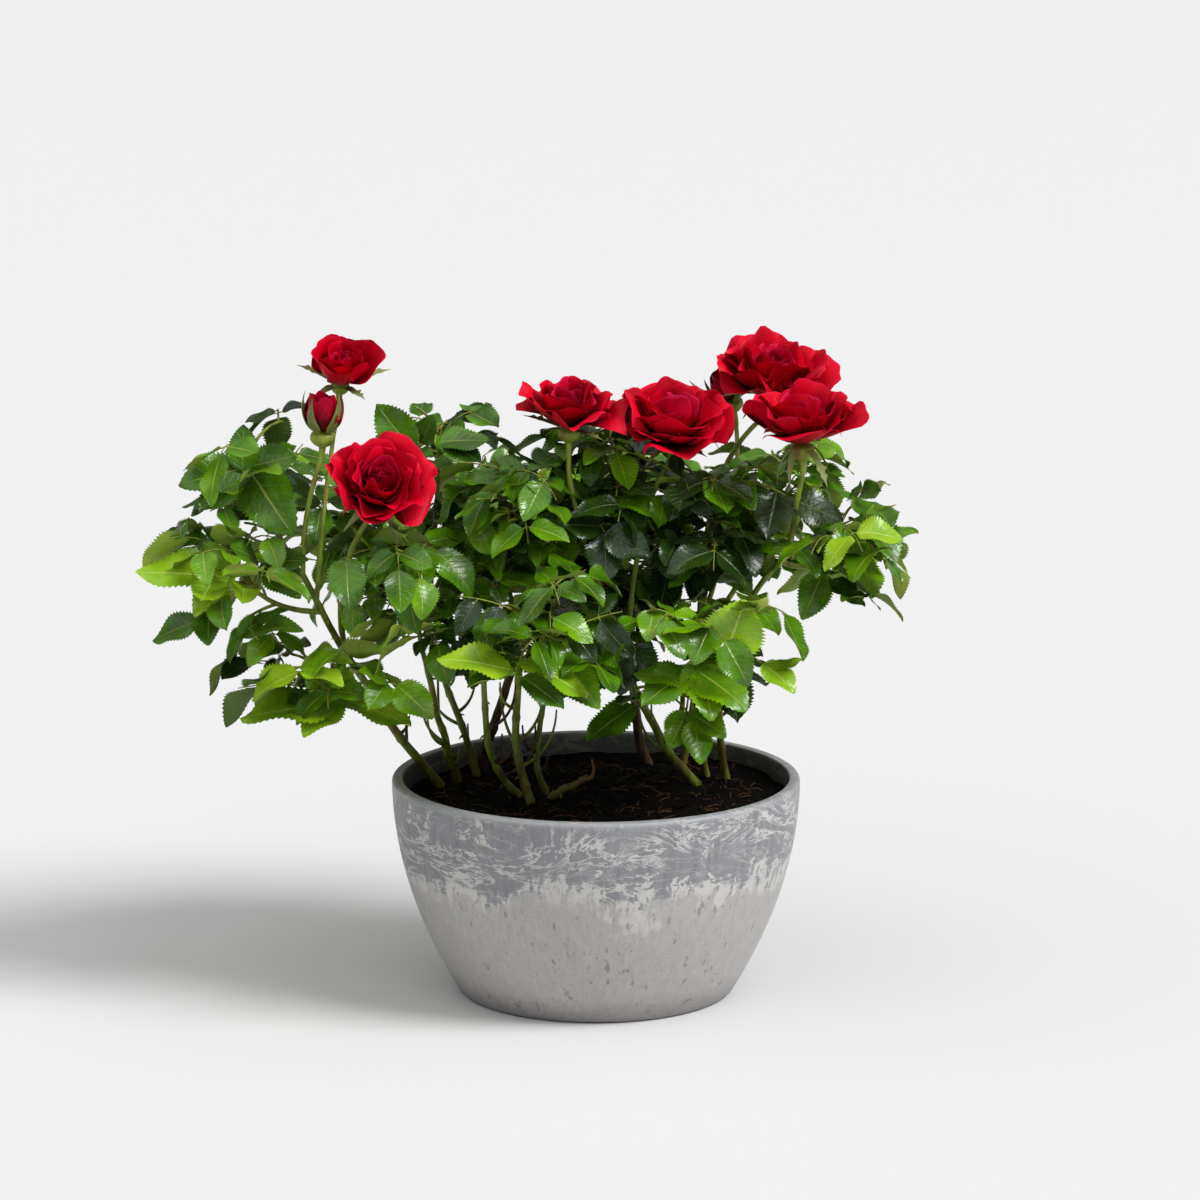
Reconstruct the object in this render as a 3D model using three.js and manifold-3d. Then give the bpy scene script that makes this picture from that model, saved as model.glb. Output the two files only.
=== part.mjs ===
// A miniature rose bush in a round stone-look bowl: canes that rise from the soil, flower stalks,
// masses of leaves, six open roses and two buds. Millimetres, +Z up. The origin is the centre of the
// bowl's flat underside, and the side that the bush is mostly seen from faces -Y.
import * as THREE from "three";
import { mergeVertices } from "three/addons/utils/BufferGeometryUtils.js";
import Module from "manifold-3d";

const wasm = await Module();
wasm.setup();

// ---- Driving sizes ----
const POT = {
  height: 107,
  rimRadius: 100,
  footRadius: 67,
  wall: 5.5,
  floor: 6,
  lip: 2,
  foot: 1.5,
  sides: 32,
  steps: 5,
};
const SOIL = { top: 95, edgeRise: 2.5, edgeWidth: 4, sides: 26 };
const SEAT = 0.3; // clearance between two pieces that touch
const LIMB = { sides: 6, steps: 4, tests: 36 };
const STEM = { sides: 4, steps: 3, radii: [1.6, 1], bow: 0.62, reach: 0.45 };
const NECK = { length: 8, radius: 1.7, steps: 2 };
const HIP = [[1, 0.7], [0.75, 1]]; // shares of its radius and of its length
const HEART = { sides: 5, profile: [[0, 0], [0.7, 0], [1, 0.5], [0.6, 1], [0, 0.92]] };
const PETAL = { thickness: 0.9, overlap: 0.9, roundness: 0.22, lift: 1.7 };
const FIFTH = (2 * Math.PI) / 5; // roses carry their petals in fives

const LEAF = {
  widest: 0.43, // the share of a leaflet's length at its widest
  width: 0.72, // its greatest width as a share of its length
  thickness: 0.7,
  strip: 1.2, // the stalk's width
  sink: 0.6, // how far the stalk starts inside the stem
  sag: 0.2,
  disc: 0.42, // the disc that stands for a leaflet, as a share of its length
  apart: 1.3, // between two blades
  gap: 1.5, // from a blade to a limb or a bloom
  border: 0.03, // from one mass's space to the next, as a share of a space
  furthest: 1.12,
  // each pair's place on the stalk, its turn from the stalk, and its size beside the end leaflet's
  pairs: [
    [0.66, 1.13, 0.86],
    [0.26, 1.36, 0.7],
  ],
};
const STALK_TESTS = [0.15, 0.3, 0.44, 0.58, 0.72, 0.86, 1];
const BLADE_TESTS = [0.12, 0.27, 0.43, 0.6, 0.8, 1].flatMap((t) => [-1, 0, 1].map((s) => [t, s]));

// How leaves stand on a stem. Angles are in radians, and each pair of numbers is a range.
const GROWTH = {
  turn: THREE.MathUtils.degToRad(137.5), // from one leaf to the next, round the stem
  first: 0.3, // the stem is bare up to here
  wander: [-0.6, 0.6],
  tries: 12,
  retry: 0.8, // the turn from one try to the next
  forward: [0.2, 0.7],
  lift: 0.25,
  rise: [-0.6, 0.85],
  follow: 0.5,
  droop: [-1, -0.2],
  roll: [-0.65, 0.65],
  size: [0.85, 1.2],
  twoPairs: 0.85, // the share of leaves with two pairs of leaflets
  stalk: { 1: [0.6, 0.85], 2: [0.98, 1.23] }, // its length in leaflets
};

const COLOURS = {
  pot: [0x9a9aa0, 0.6],
  soil: [0x241812, 0.95],
  greenWood: [0x5f7a34, 0.6],
  oldWood: [0x4a3424, 0.8],
  leaves: [0x2f6a1e, 0.45],
  youngLeaves: [0x7fae2b, 0.5],
  petals: [0xb3001b, 0.6],
};

// Each limb runs from its root through a middle point to its tip. A root is a point on the soil, or a
// place on an earlier limb: its name and the share of its length.
const CANES = {
  cane_left_outer: { root: [-77.5, 29], mid: [-109.7, 5, 146], tip: [-141, -25, 212], radius: [2.7, 1.7] },
  cane_left_inner: { root: [-69, 40], mid: [-76, 22, 124], tip: [-83, 2, 163], radius: [2.4, 1.7] },
  cane_left_wood: {
    root: [-57, 62], mid: [-51, 52, 122], tip: [-38, 45, 160], radius: [3.2, 2.2], old: true,
  },
  cane_left_back: { root: [-60, 54], mid: [-72, 58, 132], tip: [-88, 50, 178], radius: [2.2, 1.6] },
  cane_mid_bent: { root: [-38, 8], mid: [-52, -3, 122], tip: [-54, -10, 172], radius: [2.2, 1.6] },
  cane_mid_main: { root: [-32, -4], mid: [-39, -6, 134], tip: [-33, -18, 193], radius: [2.6, 1.8] },
  cane_mid_right: { root: [-24, 10], mid: [-29, 11, 120], tip: [-20, 18, 156], radius: [1.9, 1.4] },
  cane_right_main: { root: [50, 29], mid: [26.5, 12, 132], tip: [12.6, -10, 176], radius: [2.8, 1.8] },
  cane_right_wood: { root: [26, 74], mid: [20, 70, 120], tip: [17, 62, 160], radius: [3, 2.2], old: true },
  cane_right_up: { root: [55, 50], mid: [50, 35, 137], tip: [52, 15, 180], radius: [2.2, 1.6] },
  cane_right_outer: { root: [65, 42], mid: [64, 15, 165], tip: [93, -10, 219], radius: [2.2, 1.5] },
  cane_right_back: { root: [44, 68], mid: [52, 74, 138], tip: [66, 72, 180], radius: [2.1, 1.5] },
};
const BOUGHS = {
  bough_left_low: {
    root: ["cane_left_outer", 0.42], mid: [-113, -8, 143], tip: [-123, -22, 150], radius: [1.2, 0.9],
  },
  bough_right_fork: {
    root: ["cane_right_main", 0.3], mid: [41, 4, 133], tip: [42, -14, 150], radius: [1.8, 1.4],
  },
  cut_stub: { root: [-22, 2], mid: [-14, -3, 101], tip: [-4, -5, 107], radius: [2.2, 1.6] },
};
const STALKS = {
  stalk_bud_left: {
    root: ["cane_left_outer", 1], mid: [-138, -30, 244], tip: [-132, -33, 268], radius: [1.5, 1.3],
  },
  stalk_rose_left_high: {
    root: ["cane_left_outer", 0.9], mid: [-130, -6, 252], tip: [-125, 3, 289], radius: [1.4, 1.2],
  },
  stalk_rose_left_low: {
    root: ["cane_left_outer", 0.68], mid: [-122, -28, 209], tip: [-109, -31, 240], radius: [1.7, 1.5],
  },
  stalk_rose_mid_left: {
    root: ["cane_right_main", 1], mid: [-7, -19, 232], tip: [-13, -20, 268], radius: [1.6, 1.5],
  },
  stalk_rose_mid_right: {
    root: ["cane_right_main", 0.9], mid: [21, -8, 224], tip: [34, -11, 262], radius: [1.6, 1.4],
  },
  stalk_bud_right: {
    root: ["cane_right_up", 1], mid: [66, 24, 232], tip: [69, 42, 273], radius: [1.5, 1.3],
  },
  stalk_rose_back: {
    root: ["cane_right_up", 0.86], mid: [58, 22, 240], tip: [82, 23, 281], radius: [1.6, 1.4],
  },
  stalk_rose_right: {
    root: ["cane_right_outer", 1], mid: [96, -24, 243], tip: [98.5, -34, 262], radius: [1.5, 1.4],
  },
};

// An open rose or a bud sits on its stalk's tip. "facing" is the way it opens, "spread" is how far its
// outer petals lie back: 0 is a closed cup and 1 is flat. "hip" is its hip's radius and length.
const BLOOMS = {
  rose_left_high: {
    stalk: "stalk_rose_left_high", facing: [0.12, -0.5, 0.86], radius: 19, spread: 0.25, hip: [4.2, 6],
  },
  rose_left_low: {
    stalk: "stalk_rose_left_low", facing: [0.1, -0.8, 0.6], radius: 27, spread: 0.6, hip: [4.8, 6],
  },
  rose_mid_left: {
    stalk: "stalk_rose_mid_left", facing: [0.02, -0.12, 1], radius: 28, spread: 0.8, hip: [5.2, 6],
  },
  rose_mid_right: {
    stalk: "stalk_rose_mid_right", facing: [0.02, -0.4, 0.92], radius: 30, spread: 0.85, hip: [5, 6],
  },
  rose_back: {
    stalk: "stalk_rose_back", facing: [0.25, -0.42, 0.87], radius: 31, spread: 0.8, hip: [5, 6],
  },
  rose_right: {
    stalk: "stalk_rose_right", facing: [0.14, -0.06, 0.99], radius: 28, spread: 0.5, hip: [5.4, 8],
  },
  bud_left: { stalk: "stalk_bud_left", facing: [0.04, -0.06, 1], radius: 9, bud: true, hip: [5.6, 6] },
  bud_right: { stalk: "stalk_bud_right", facing: [-0.05, -0.05, 1], radius: 8.5, bud: true, hip: [5.4, 6] },
};

// A mass of leaves fills an egg-shaped space round its centre. It grows from a place on a limb.
const MASSES = {
  leaves_left_high: {
    on: ["cane_left_outer", 0.97], centre: [-166, -14, 256], half: [50, 46, 44], leaves: 6, leaflet: 33,
  },
  leaves_left_far: {
    on: ["cane_left_outer", 0.86], centre: [-176, -22, 204], half: [52, 46, 38], leaves: 6, leaflet: 35,
  },
  leaves_left_low: {
    on: ["bough_left_low", 1], centre: [-134, -24, 152], half: [56, 46, 32], leaves: 5, leaflet: 36,
  },
  leaves_left_heart: {
    on: ["cane_left_back", 1], centre: [-122, 42, 216], half: [50, 50, 50], leaves: 5, leaflet: 32,
  },
  leaves_left_front: {
    on: ["cane_left_inner", 1], centre: [-88, -26, 200], half: [44, 48, 50], leaves: 6, leaflet: 32,
  },
  leaves_left_top: {
    on: ["cane_left_back", 0.9], centre: [-76, 22, 258], half: [50, 46, 42], leaves: 5, leaflet: 32,
  },
  leaves_mid_left: {
    on: ["cane_mid_bent", 1], centre: [-40, -14, 236], half: [42, 46, 44], leaves: 6, leaflet: 32,
  },
  leaves_mid_front: {
    on: ["cane_mid_main", 0.85], centre: [-20, -62, 190], half: [54, 46, 38],
    leaves: 6, leaflet: 33, young: true,
  },
  leaves_mid_top: {
    on: ["cane_mid_main", 1], centre: [12, 4, 248], half: [42, 46, 42], leaves: 6, leaflet: 31,
  },
  leaves_mid_low: {
    on: ["cane_mid_right", 1], centre: [2, 14, 184], half: [46, 46, 36], leaves: 5, leaflet: 31,
  },
  leaves_back_left: {
    on: ["cane_left_wood", 1], centre: [-48, 84, 212], half: [56, 46, 54], leaves: 5, leaflet: 33,
  },
  leaves_back_right: {
    on: ["cane_right_wood", 1], centre: [22, 86, 214], half: [56, 46, 54], leaves: 5, leaflet: 33,
  },
  leaves_right_front: {
    on: ["bough_right_fork", 1], centre: [52, -48, 178], half: [50, 46, 38],
    leaves: 6, leaflet: 35, young: true,
  },
  leaves_right_heart: {
    on: ["cane_right_up", 0.94], centre: [56, -12, 234], half: [42, 46, 44], leaves: 6, leaflet: 31,
  },
  leaves_right_far: {
    on: ["cane_right_outer", 0.96], centre: [118, -6, 214], half: [50, 48, 40], leaves: 6, leaflet: 34,
  },
  leaves_right_back: {
    on: ["cane_right_back", 1], centre: [84, 62, 224], half: [52, 50, 52], leaves: 5, leaflet: 32,
  },
};

// ---- Small helpers ----
const UP = new THREE.Vector3(0, 0, 1);
const vec = (p) => new THREE.Vector3(...p);
const within = ([low, high], share) => low + (high - low) * share;

// The same pair of numbers always gives the same share, from 0 to 1.
function chance(seed, index) {
  let h = Math.imul(seed, 0x9e3779b1) ^ Math.imul(index + 1, 0x85ebca6b);
  h = Math.imul(h ^ (h >>> 15), 0x2c1b3c6d);
  h = Math.imul(h ^ (h >>> 12), 0x297a2d39);
  return ((h ^ (h >>> 15)) >>> 0) / 4294967296;
}

function solidOf(geometry) {
  const bare = geometry.clone();
  bare.deleteAttribute("normal");
  bare.deleteAttribute("uv");
  const merged = mergeVertices(bare, 1e-4);
  return new wasm.Manifold(
    new wasm.Mesh({
      numProp: 3,
      vertProperties: new Float32Array(merged.attributes.position.array),
      triVerts: new Uint32Array(merged.index.array),
    }),
  );
}

function geometryOf(solid) {
  const mesh = solid.getMesh();
  const geometry = new THREE.BufferGeometry();
  geometry.setAttribute("position", new THREE.BufferAttribute(new Float32Array(mesh.vertProperties), 3));
  geometry.setIndex(new THREE.BufferAttribute(new Uint32Array(mesh.triVerts), 1));
  geometry.computeVertexNormals();
  return geometry;
}

// A cut or a join can leave a loose scrap, which is dropped.
const largest = (solid) => solid.decompose().reduce((a, b) => (a.volume() > b.volume() ? a : b));
const fuse = (geometries) => largest(wasm.Manifold.union(geometries.map(solidOf)));

// Moves every vertex of a geometry by a function of its old place.
function reshape(geometry, place) {
  const position = geometry.getAttribute("position");
  const p = new THREE.Vector3();
  for (let i = 0; i < position.count; i++) {
    p.fromBufferAttribute(position, i);
    position.setXYZ(i, ...place(p).toArray());
  }
  return geometry;
}

// A turned body with its axis along Z.
function lathe(profile, sides) {
  const points = profile.map(([r, z]) => new THREE.Vector2(r, z));
  return new THREE.LatheGeometry(points, sides).rotateX(Math.PI / 2);
}

// The curve that starts at a, passes through b half way, and ends at c.
function bend(a, b, c) {
  const control = b.clone().multiplyScalar(2).addScaledVector(a, -0.5).addScaledVector(c, -0.5);
  return new THREE.QuadraticBezierCurve3(a, control, c);
}

// Two directions square to a tangent, chosen so that they turn little along a curve.
function crossDirections(tangent) {
  const flat = Math.abs(tangent.z) > 0.9 ? new THREE.Vector3(1, 0, 0) : UP;
  const side = new THREE.Vector3().crossVectors(flat, tangent).normalize();
  return [side, new THREE.Vector3().crossVectors(tangent, side)];
}

// The stations of a limb that tapers evenly along a curve.
function taper(curve, radii, steps) {
  return Array.from({ length: steps + 1 }, (_, i) => {
    const t = i / steps;
    const radius = THREE.MathUtils.lerp(...radii, t);
    return { centre: curve.getPoint(t), tangent: curve.getTangent(t), radius };
  });
}

// A round limb through stations. Its foot is cut level where it stands on the soil.
function limbThrough(stations, sides, levelFoot = false) {
  const first = crossDirections(stations[0].tangent)[0];
  const steps = stations.length - 1;
  return reshape(new THREE.CylinderGeometry(1, 1, 1, sides, steps), (p) => {
    const station = Math.round((p.y + 0.5) * steps);
    const { centre, tangent, radius } = stations[station];
    const side = first.clone().addScaledVector(tangent, -first.dot(tangent)).normalize();
    const front = new THREE.Vector3().crossVectors(tangent, side);
    const made = centre.clone().addScaledVector(side, p.z * radius).addScaledVector(front, p.x * radius);
    if (levelFoot && station === 0) made.addScaledVector(tangent, (centre.z - made.z) / tangent.z);
    return made;
  });
}

// ---- Limbs ----
const limbs = new Map();

// Lays out a limb from its plan, and keeps it for what grows from it or near it.
function growLimb(name, plan) {
  const onSoil = typeof plan.root[0] === "number";
  const parent = onSoil ? null : limbs.get(plan.root[0]);
  const root = onSoil ? vec([...plan.root, SOIL.top + SEAT]) : parent.curve.getPoint(plan.root[1]);
  const limb = { curve: bend(root, vec(plan.mid), vec(plan.tip)), radii: plan.radius, parent, onSoil };
  limbs.set(name, limb);
  noteLimb(limb);
  return limb;
}

// A limb's own shape with the seat's clearance added all round and past both ends.
function grown({ curve, radii }) {
  const start = curve.v0.clone().addScaledVector(curve.getTangent(0), -SEAT);
  const end = curve.v2.clone().addScaledVector(curve.getTangent(1), SEAT);
  const longer = new THREE.QuadraticBezierCurve3(start, curve.v1, end);
  return solidOf(limbThrough(taper(longer, radii.map((r) => r + SEAT), LIMB.steps), LIMB.sides));
}

// A limb, with what carries on past its tip, cut clear of the limb that it grows from.
function limbSolid({ curve, radii, parent, onSoil }, onward = []) {
  const body = solidOf(limbThrough([...taper(curve, radii, LIMB.steps), ...onward], LIMB.sides, onSoil));
  return parent ? largest(body.subtract(grown(parent))) : body;
}

// ---- The leaf rule ----
// Distance from the centre of a mass, where 1 is on the surface of its space.
const spaceDistance = (mass, p) =>
  Math.hypot(...mass.centre.map((c, i) => (p.getComponent(i) - c) / mass.half[i]));

const limbPoints = [];
function noteLimb({ curve, radii }) {
  for (const { centre, radius } of taper(curve, radii, LIMB.tests)) limbPoints.push([centre, radius, curve]);
}

const blooms = [];
function nearBloom(p) {
  return blooms.some((bloom) => {
    const from = p.clone().sub(bloom.heart);
    const along = from.dot(bloom.facing);
    const across = Math.sqrt(Math.max(0, from.lengthSq() - along * along));
    return Math.abs(along) < bloom.depth + LEAF.gap && across < bloom.radius + LEAF.gap;
  });
}

function nearLimb(p, ownStem) {
  return limbPoints.some(([q, r, curve]) => curve !== ownStem && p.distanceTo(q) < r + LEAF.gap);
}

function hasRoom(mass, p, ownStem = null) {
  const own = spaceDistance(mass, p);
  if (own > LEAF.furthest || p.z < POT.height + LEAF.gap) return false;
  if (nearLimb(p, ownStem) || nearBloom(p)) return false;
  const others = Object.values(MASSES).filter((other) => other !== mass);
  return others.every((other) => spaceDistance(other, p) > own + LEAF.border);
}

// A leaf's own frame: x across, y out along the stalk and z up from the blade. The stalk rises from
// the stem and droops, and the blades sag away from it.
function leafFrame(root, { heading, rise, droop, roll, length, stalk }) {
  const out = new THREE.Vector3(Math.cos(heading), Math.sin(heading), 0);
  const slope = (angle) => out.clone().multiplyScalar(Math.cos(angle)).addScaledVector(UP, Math.sin(angle));
  const middle = root.clone().addScaledVector(slope(rise), stalk / 2);
  const curve = bend(root, middle, middle.clone().addScaledVector(slope(droop), stalk / 2));
  const level = new THREE.Vector3().crossVectors(out, UP).applyAxisAngle(slope(droop), roll);
  const faceAt = (y) => {
    const tangent = curve.getTangent(THREE.MathUtils.clamp(y / stalk, 0, 1));
    return [tangent, new THREE.Vector3().crossVectors(level, tangent).normalize()];
  };
  const place = (x, y, z) => {
    const t = THREE.MathUtils.clamp(y / stalk, 0, 1);
    const [tangent, face] = faceAt(y);
    const past = Math.max(0, y - stalk);
    return curve
      .getPoint(t)
      .addScaledVector(tangent, y - t * stalk)
      .addScaledVector(level, x)
      .addScaledVector(face, z)
      .addScaledVector(UP, (-LEAF.sag * (x * x + past * past)) / length);
  };
  return { place, faceAt };
}

// A place on a leaflet in its leaf's frame: t is the share of its length, and s is -1 or 1 at its sides.
function onLeaflet({ foot, turn, length }, t, s) {
  const widest = LEAF.widest;
  const half = 0.5 * LEAF.width * length * (t < widest ? t / widest : (1 - t) / (1 - widest));
  return [
    Math.sin(turn) * t * length + Math.cos(turn) * s * half,
    foot + Math.cos(turn) * t * length - Math.sin(turn) * s * half,
  ];
}

// Two blades cross when their discs reach each other and each one reaches the other's plane.
function bladesCross(a, b) {
  const between = b.middle.clone().sub(a.middle);
  const tilt = Math.sqrt(Math.max(0, 1 - a.face.dot(b.face) ** 2));
  return (
    between.length() < LEAF.disc * (a.length + b.length) &&
    Math.abs(between.dot(a.face)) < LEAF.disc * b.length * tilt + LEAF.apart &&
    Math.abs(between.dot(b.face)) < LEAF.disc * a.length * tilt + LEAF.apart
  );
}

const onBlade = (p, leaflet) => {
  const from = p.clone().sub(leaflet.middle);
  return from.length() < LEAF.disc * leaflet.length && Math.abs(from.dot(leaflet.face)) < LEAF.apart;
};

// One compound leaf: the leaflets that find room, in pairs up the stalk and one at its end.
function compoundLeaf(mass, stem, root, plan, placed) {
  const { place, faceAt } = leafFrame(root, plan);
  const { stalk, length } = plan;
  const stalkPoints = STALK_TESTS.map((share) => place(0, share * stalk, 0));
  const others = placed.flatMap((leaf) => leaf.leaflets);
  const blocked = stalkPoints.some((p) => others.some((other) => onBlade(p, other)));
  if (blocked || !stalkPoints.every((p) => hasRoom(mass, p, stem))) return { leaflets: [] };
  const leaflets = [{ foot: stalk, turn: 0, length }];
  for (const [share, turn, size] of LEAF.pairs.slice(0, plan.pairs)) {
    const foot = share * stalk;
    leaflets.push({ foot, turn, length: size * length }, { foot, turn: -turn, length: size * length });
  }
  const kept = leaflets.filter((leaflet) => {
    const [x, y] = onLeaflet(leaflet, 0.5, 0);
    leaflet.middle = place(x, y, 0);
    leaflet.face = faceAt(y)[1];
    if (others.some((other) => bladesCross(leaflet, other))) return false;
    if (placed.some((leaf) => leaf.stalkPoints.some((p) => onBlade(p, leaflet)))) return false;
    return BLADE_TESTS.every(([t, s]) => hasRoom(mass, place(...onLeaflet(leaflet, t, s), 0)));
  });
  return { place, stalk, stalkPoints, leaflets: kept };
}

// Every leaf of a mass, in order up its stem and turning round it. Each has a few tries at finding room.
function leavesOf(mass, seed, stem) {
  const leaves = [];
  for (let i = 0; i < mass.leaves; i++) {
    const t = within([GROWTH.first, 1], (i + 0.7) / mass.leaves);
    const tries = Array.from({ length: GROWTH.tries }, (_, k) => {
      const draw = (n) => chance(seed, i * 97 + k * 11 + n);
      const around = i * GROWTH.turn + seed + within(GROWTH.wander, draw(0)) + k * GROWTH.retry;
      const plan = leafPlan(mass, stem.getTangent(t), around, draw);
      return compoundLeaf(mass, stem, stemPoint(stem, t), plan, leaves);
    });
    const best = tries.reduce((a, b) => (b.leaflets.length > a.leaflets.length ? b : a));
    if (best.leaflets.length) leaves.push(best);
  }
  return leaves;
}

function leafPlan(mass, tangent, around, draw) {
  const [side, front] = crossDirections(tangent);
  const way = side.multiplyScalar(Math.cos(around)).addScaledVector(front, Math.sin(around));
  way.addScaledVector(tangent, within(GROWTH.forward, draw(1))).addScaledVector(UP, GROWTH.lift).normalize();
  const rise = Math.asin(THREE.MathUtils.clamp(way.z, ...GROWTH.rise));
  const length = mass.leaflet * within(GROWTH.size, draw(4));
  const pairs = draw(6) < GROWTH.twoPairs ? 2 : 1;
  return {
    heading: Math.atan2(way.y, way.x),
    rise,
    droop: GROWTH.follow * rise + within(GROWTH.droop, draw(2)),
    roll: within(GROWTH.roll, draw(3)),
    length,
    pairs,
    stalk: length * within(GROWTH.stalk[pairs], draw(5)),
  };
}

// The place on a stem's straight lengths at a share of its curve.
function stemPoint(stem, t) {
  const k = Math.min(Math.floor(t * STEM.steps), STEM.steps - 1);
  const [a, b] = [k, k + 1].map((n) => stem.getPoint(n / STEM.steps));
  return a.lerp(b, t * STEM.steps - k);
}

// Triangles that fill a strip between its two edges. Each edge is a list of points with their index and height.
function stripFaces(left, right) {
  const faces = [];
  let [i, j] = [0, 0];
  while (i < left.length - 1 || j < right.length - 1) {
    const goLeft = j === right.length - 1 || (i < left.length - 1 && left[i + 1].y < right[j + 1].y);
    faces.push([left[i].index, right[j].index, goLeft ? left[++i].index : right[++j].index]);
  }
  return faces;
}

// A leaf is one thin plate: a strip for its stalk, with a diamond for each leaflet, bent to its place.
// Each leaflet folds on its midrib, and the strip bends at every leaflet on either side.
function leafPlate({ place, stalk, leaflets }) {
  const half = LEAF.strip / 2;
  const outline = [];
  const faces = [];
  const point = (x, y) => ({ index: outline.push([x, y]) - 1, y });
  const addLeaflet = (leaflet, from, to) => {
    const start = point(...from);
    const places = [[LEAF.widest, 1], [1, 0], [LEAF.widest, -1]];
    const [low, tip, high] = places.map(([t, s]) => point(...onLeaflet(leaflet, t, s)).index);
    const finish = point(...to);
    faces.push([start.index, low, tip], [start.index, tip, finish.index], [finish.index, tip, high]);
    return [start, finish];
  };
  const end = leaflets.find((leaflet) => leaflet.turn === 0);
  const feet = [...new Set(leaflets.filter((leaflet) => leaflet !== end).map((leaflet) => leaflet.foot))];
  feet.sort((a, b) => a - b);
  const top = end ? stalk : feet.at(-1) + LEAF.strip;
  const edge = (side) => (side > 0 ? feet : feet.toReversed()).flatMap((foot) => {
    const leaflet = leaflets.find((other) => other.foot === foot && other.turn * side > 0);
    if (!leaflet) return [point(side * half, foot)];
    return addLeaflet(leaflet, [side * half, foot - side * half], [side * half, foot + side * half]);
  });
  const right = [point(half, -LEAF.sink), ...edge(1)];
  const [rightTop, leftTop] = end
    ? addLeaflet(end, [half, top], [-half, top])
    : [point(half, top), point(-half, top)];
  const left = [leftTop, ...edge(-1), point(-half, -LEAF.sink)];
  faces.push(...stripFaces(left.reverse(), [...right, rightTop]));
  return plateOf(outline, faces, (x, y, z) => place(x, y, z * LEAF.thickness));
}

// A plate whose outline runs anticlockwise, with its two sides at heights of -0.5 and 0.5.
function plateOf(outline, faces, place) {
  const count = outline.length;
  const points = [0.5, -0.5].flatMap((z) => outline.map(([x, y]) => place(x, y, z)));
  const walls = outline.flatMap((_, i) => {
    const next = (i + 1) % count;
    return [[i + count, next + count, next], [i + count, next, i]];
  });
  const undersides = faces.map(([a, b, c]) => [c + count, b + count, a + count]);
  const geometry = new THREE.BufferGeometry().setFromPoints(points);
  return geometry.setIndex([...faces, ...undersides, ...walls].flat());
}

// A mass's stem runs from its limb through the middle of its space.
function stemOf(mass) {
  const [limbName, share] = mass.on;
  const root = limbs.get(limbName).curve.getPoint(share);
  const centre = vec(mass.centre);
  const tip = centre.clone().addScaledVector(UP, STEM.reach * mass.half[2]);
  return { curve: bend(root, root.clone().lerp(centre, STEM.bow), tip), radii: STEM.radii };
}

function massSolid(mass, seed, stem) {
  const parts = [limbThrough(taper(stem.curve, stem.radii, STEM.steps), STEM.sides)];
  for (const leaf of leavesOf(mass, seed, stem.curve)) parts.push(leafPlate(leaf));
  const cut = [...limbs.values()].map(grown);
  return largest(fuse(parts).subtract(wasm.Manifold.union(cut)));
}

// ---- Blooms ----
// A petal is a thin plate bent to a wall, which gives a radius and a height at each share of its length.
function petalPlate(wall, width, grid, turn) {
  return reshape(new THREE.BoxGeometry(2, 1, 1, ...grid, 1), (p) => {
    const across = p.x;
    const v = (p.y + 0.5) * (1 - PETAL.roundness * across ** 4);
    const slope = wall(v + 0.02).sub(wall(Math.max(v - 0.02, 0))).normalize();
    const offset = p.z * PETAL.thickness + PETAL.overlap * across;
    const middle = wall(v);
    const out = middle.x + slope.y * offset;
    const angle = turn + across * width * (0.35 + 0.65 * Math.sqrt(v));
    return new THREE.Vector3(out * Math.cos(angle), out * Math.sin(angle), middle.y - slope.x * offset);
  });
}

// An open rose's cup curls outwards. "lean" is how far its rim lies back, 0 upright and 1 flat.
const cupWall = (radius, height, lean) => (v) => new THREE.Vector2(
  radius * (0.12 + 0.88 * v ** (1 - 0.4 * lean)),
  PETAL.lift + height * v ** (1 + 0.8 * lean) * (1 - 0.35 * lean * v * v),
);

// A bud's wall swells and closes in again.
const budWall = (radius, height) => (v) => new THREE.Vector2(
  radius * Math.sin(Math.PI * (0.13 + 0.67 * v)),
  PETAL.lift + height * v,
);

// The folded petals at the middle of a flower.
function heartOf(radius, height) {
  return lathe(HEART.profile.map(([r, z]) => [r * radius, z * height]), HEART.sides);
}

// Petals and heart, with the flower's base at the origin.
function rosePetals({ radius, spread }) {
  const outer = cupWall(radius, radius * (0.8 - 0.45 * spread), spread);
  const inner = cupWall(0.66 * radius, radius * (0.78 - 0.2 * spread), 0.55 * spread);
  const parts = [heartOf(0.34 * radius, 0.7 * radius)];
  for (let i = 0; i < 5; i++) {
    parts.push(petalPlate(outer, 0.8, [2, 2], i * FIFTH));
    parts.push(petalPlate(inner, 0.7, [2, 1], (i + 0.5) * FIFTH));
  }
  return parts;
}

function budPetals({ radius }) {
  const wall = budWall(radius, 2.2 * radius);
  const parts = [heartOf(0.8 * radius, 2.2 * radius)];
  for (let i = 0; i < 5; i++) parts.push(petalPlate(wall, 0.75, [2, 2], i * FIFTH));
  return parts;
}

// A stalk's neck bends from its tip to the way its flower faces.
function neckOf(plan) {
  const { curve, radii } = limbs.get(plan.stalk);
  const facing = vec(plan.facing).normalize();
  const start = curve.getPoint(1);
  const elbow = start.clone().addScaledVector(curve.getTangent(1), NECK.length / 2);
  const end = elbow.clone().addScaledVector(facing, NECK.length / 2);
  return { curve: new THREE.QuadraticBezierCurve3(start, elbow, end), radii: [radii[1], NECK.radius] };
}

// The green hip on a neck's end, just clear of the petals that stand on it.
function hipStations(neckEnd, facing, [radius, length]) {
  return HIP.map(([share, along]) => ({
    centre: neckEnd.clone().addScaledVector(facing, along * length - SEAT),
    tangent: facing,
    radius: share * radius,
  }));
}

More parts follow.
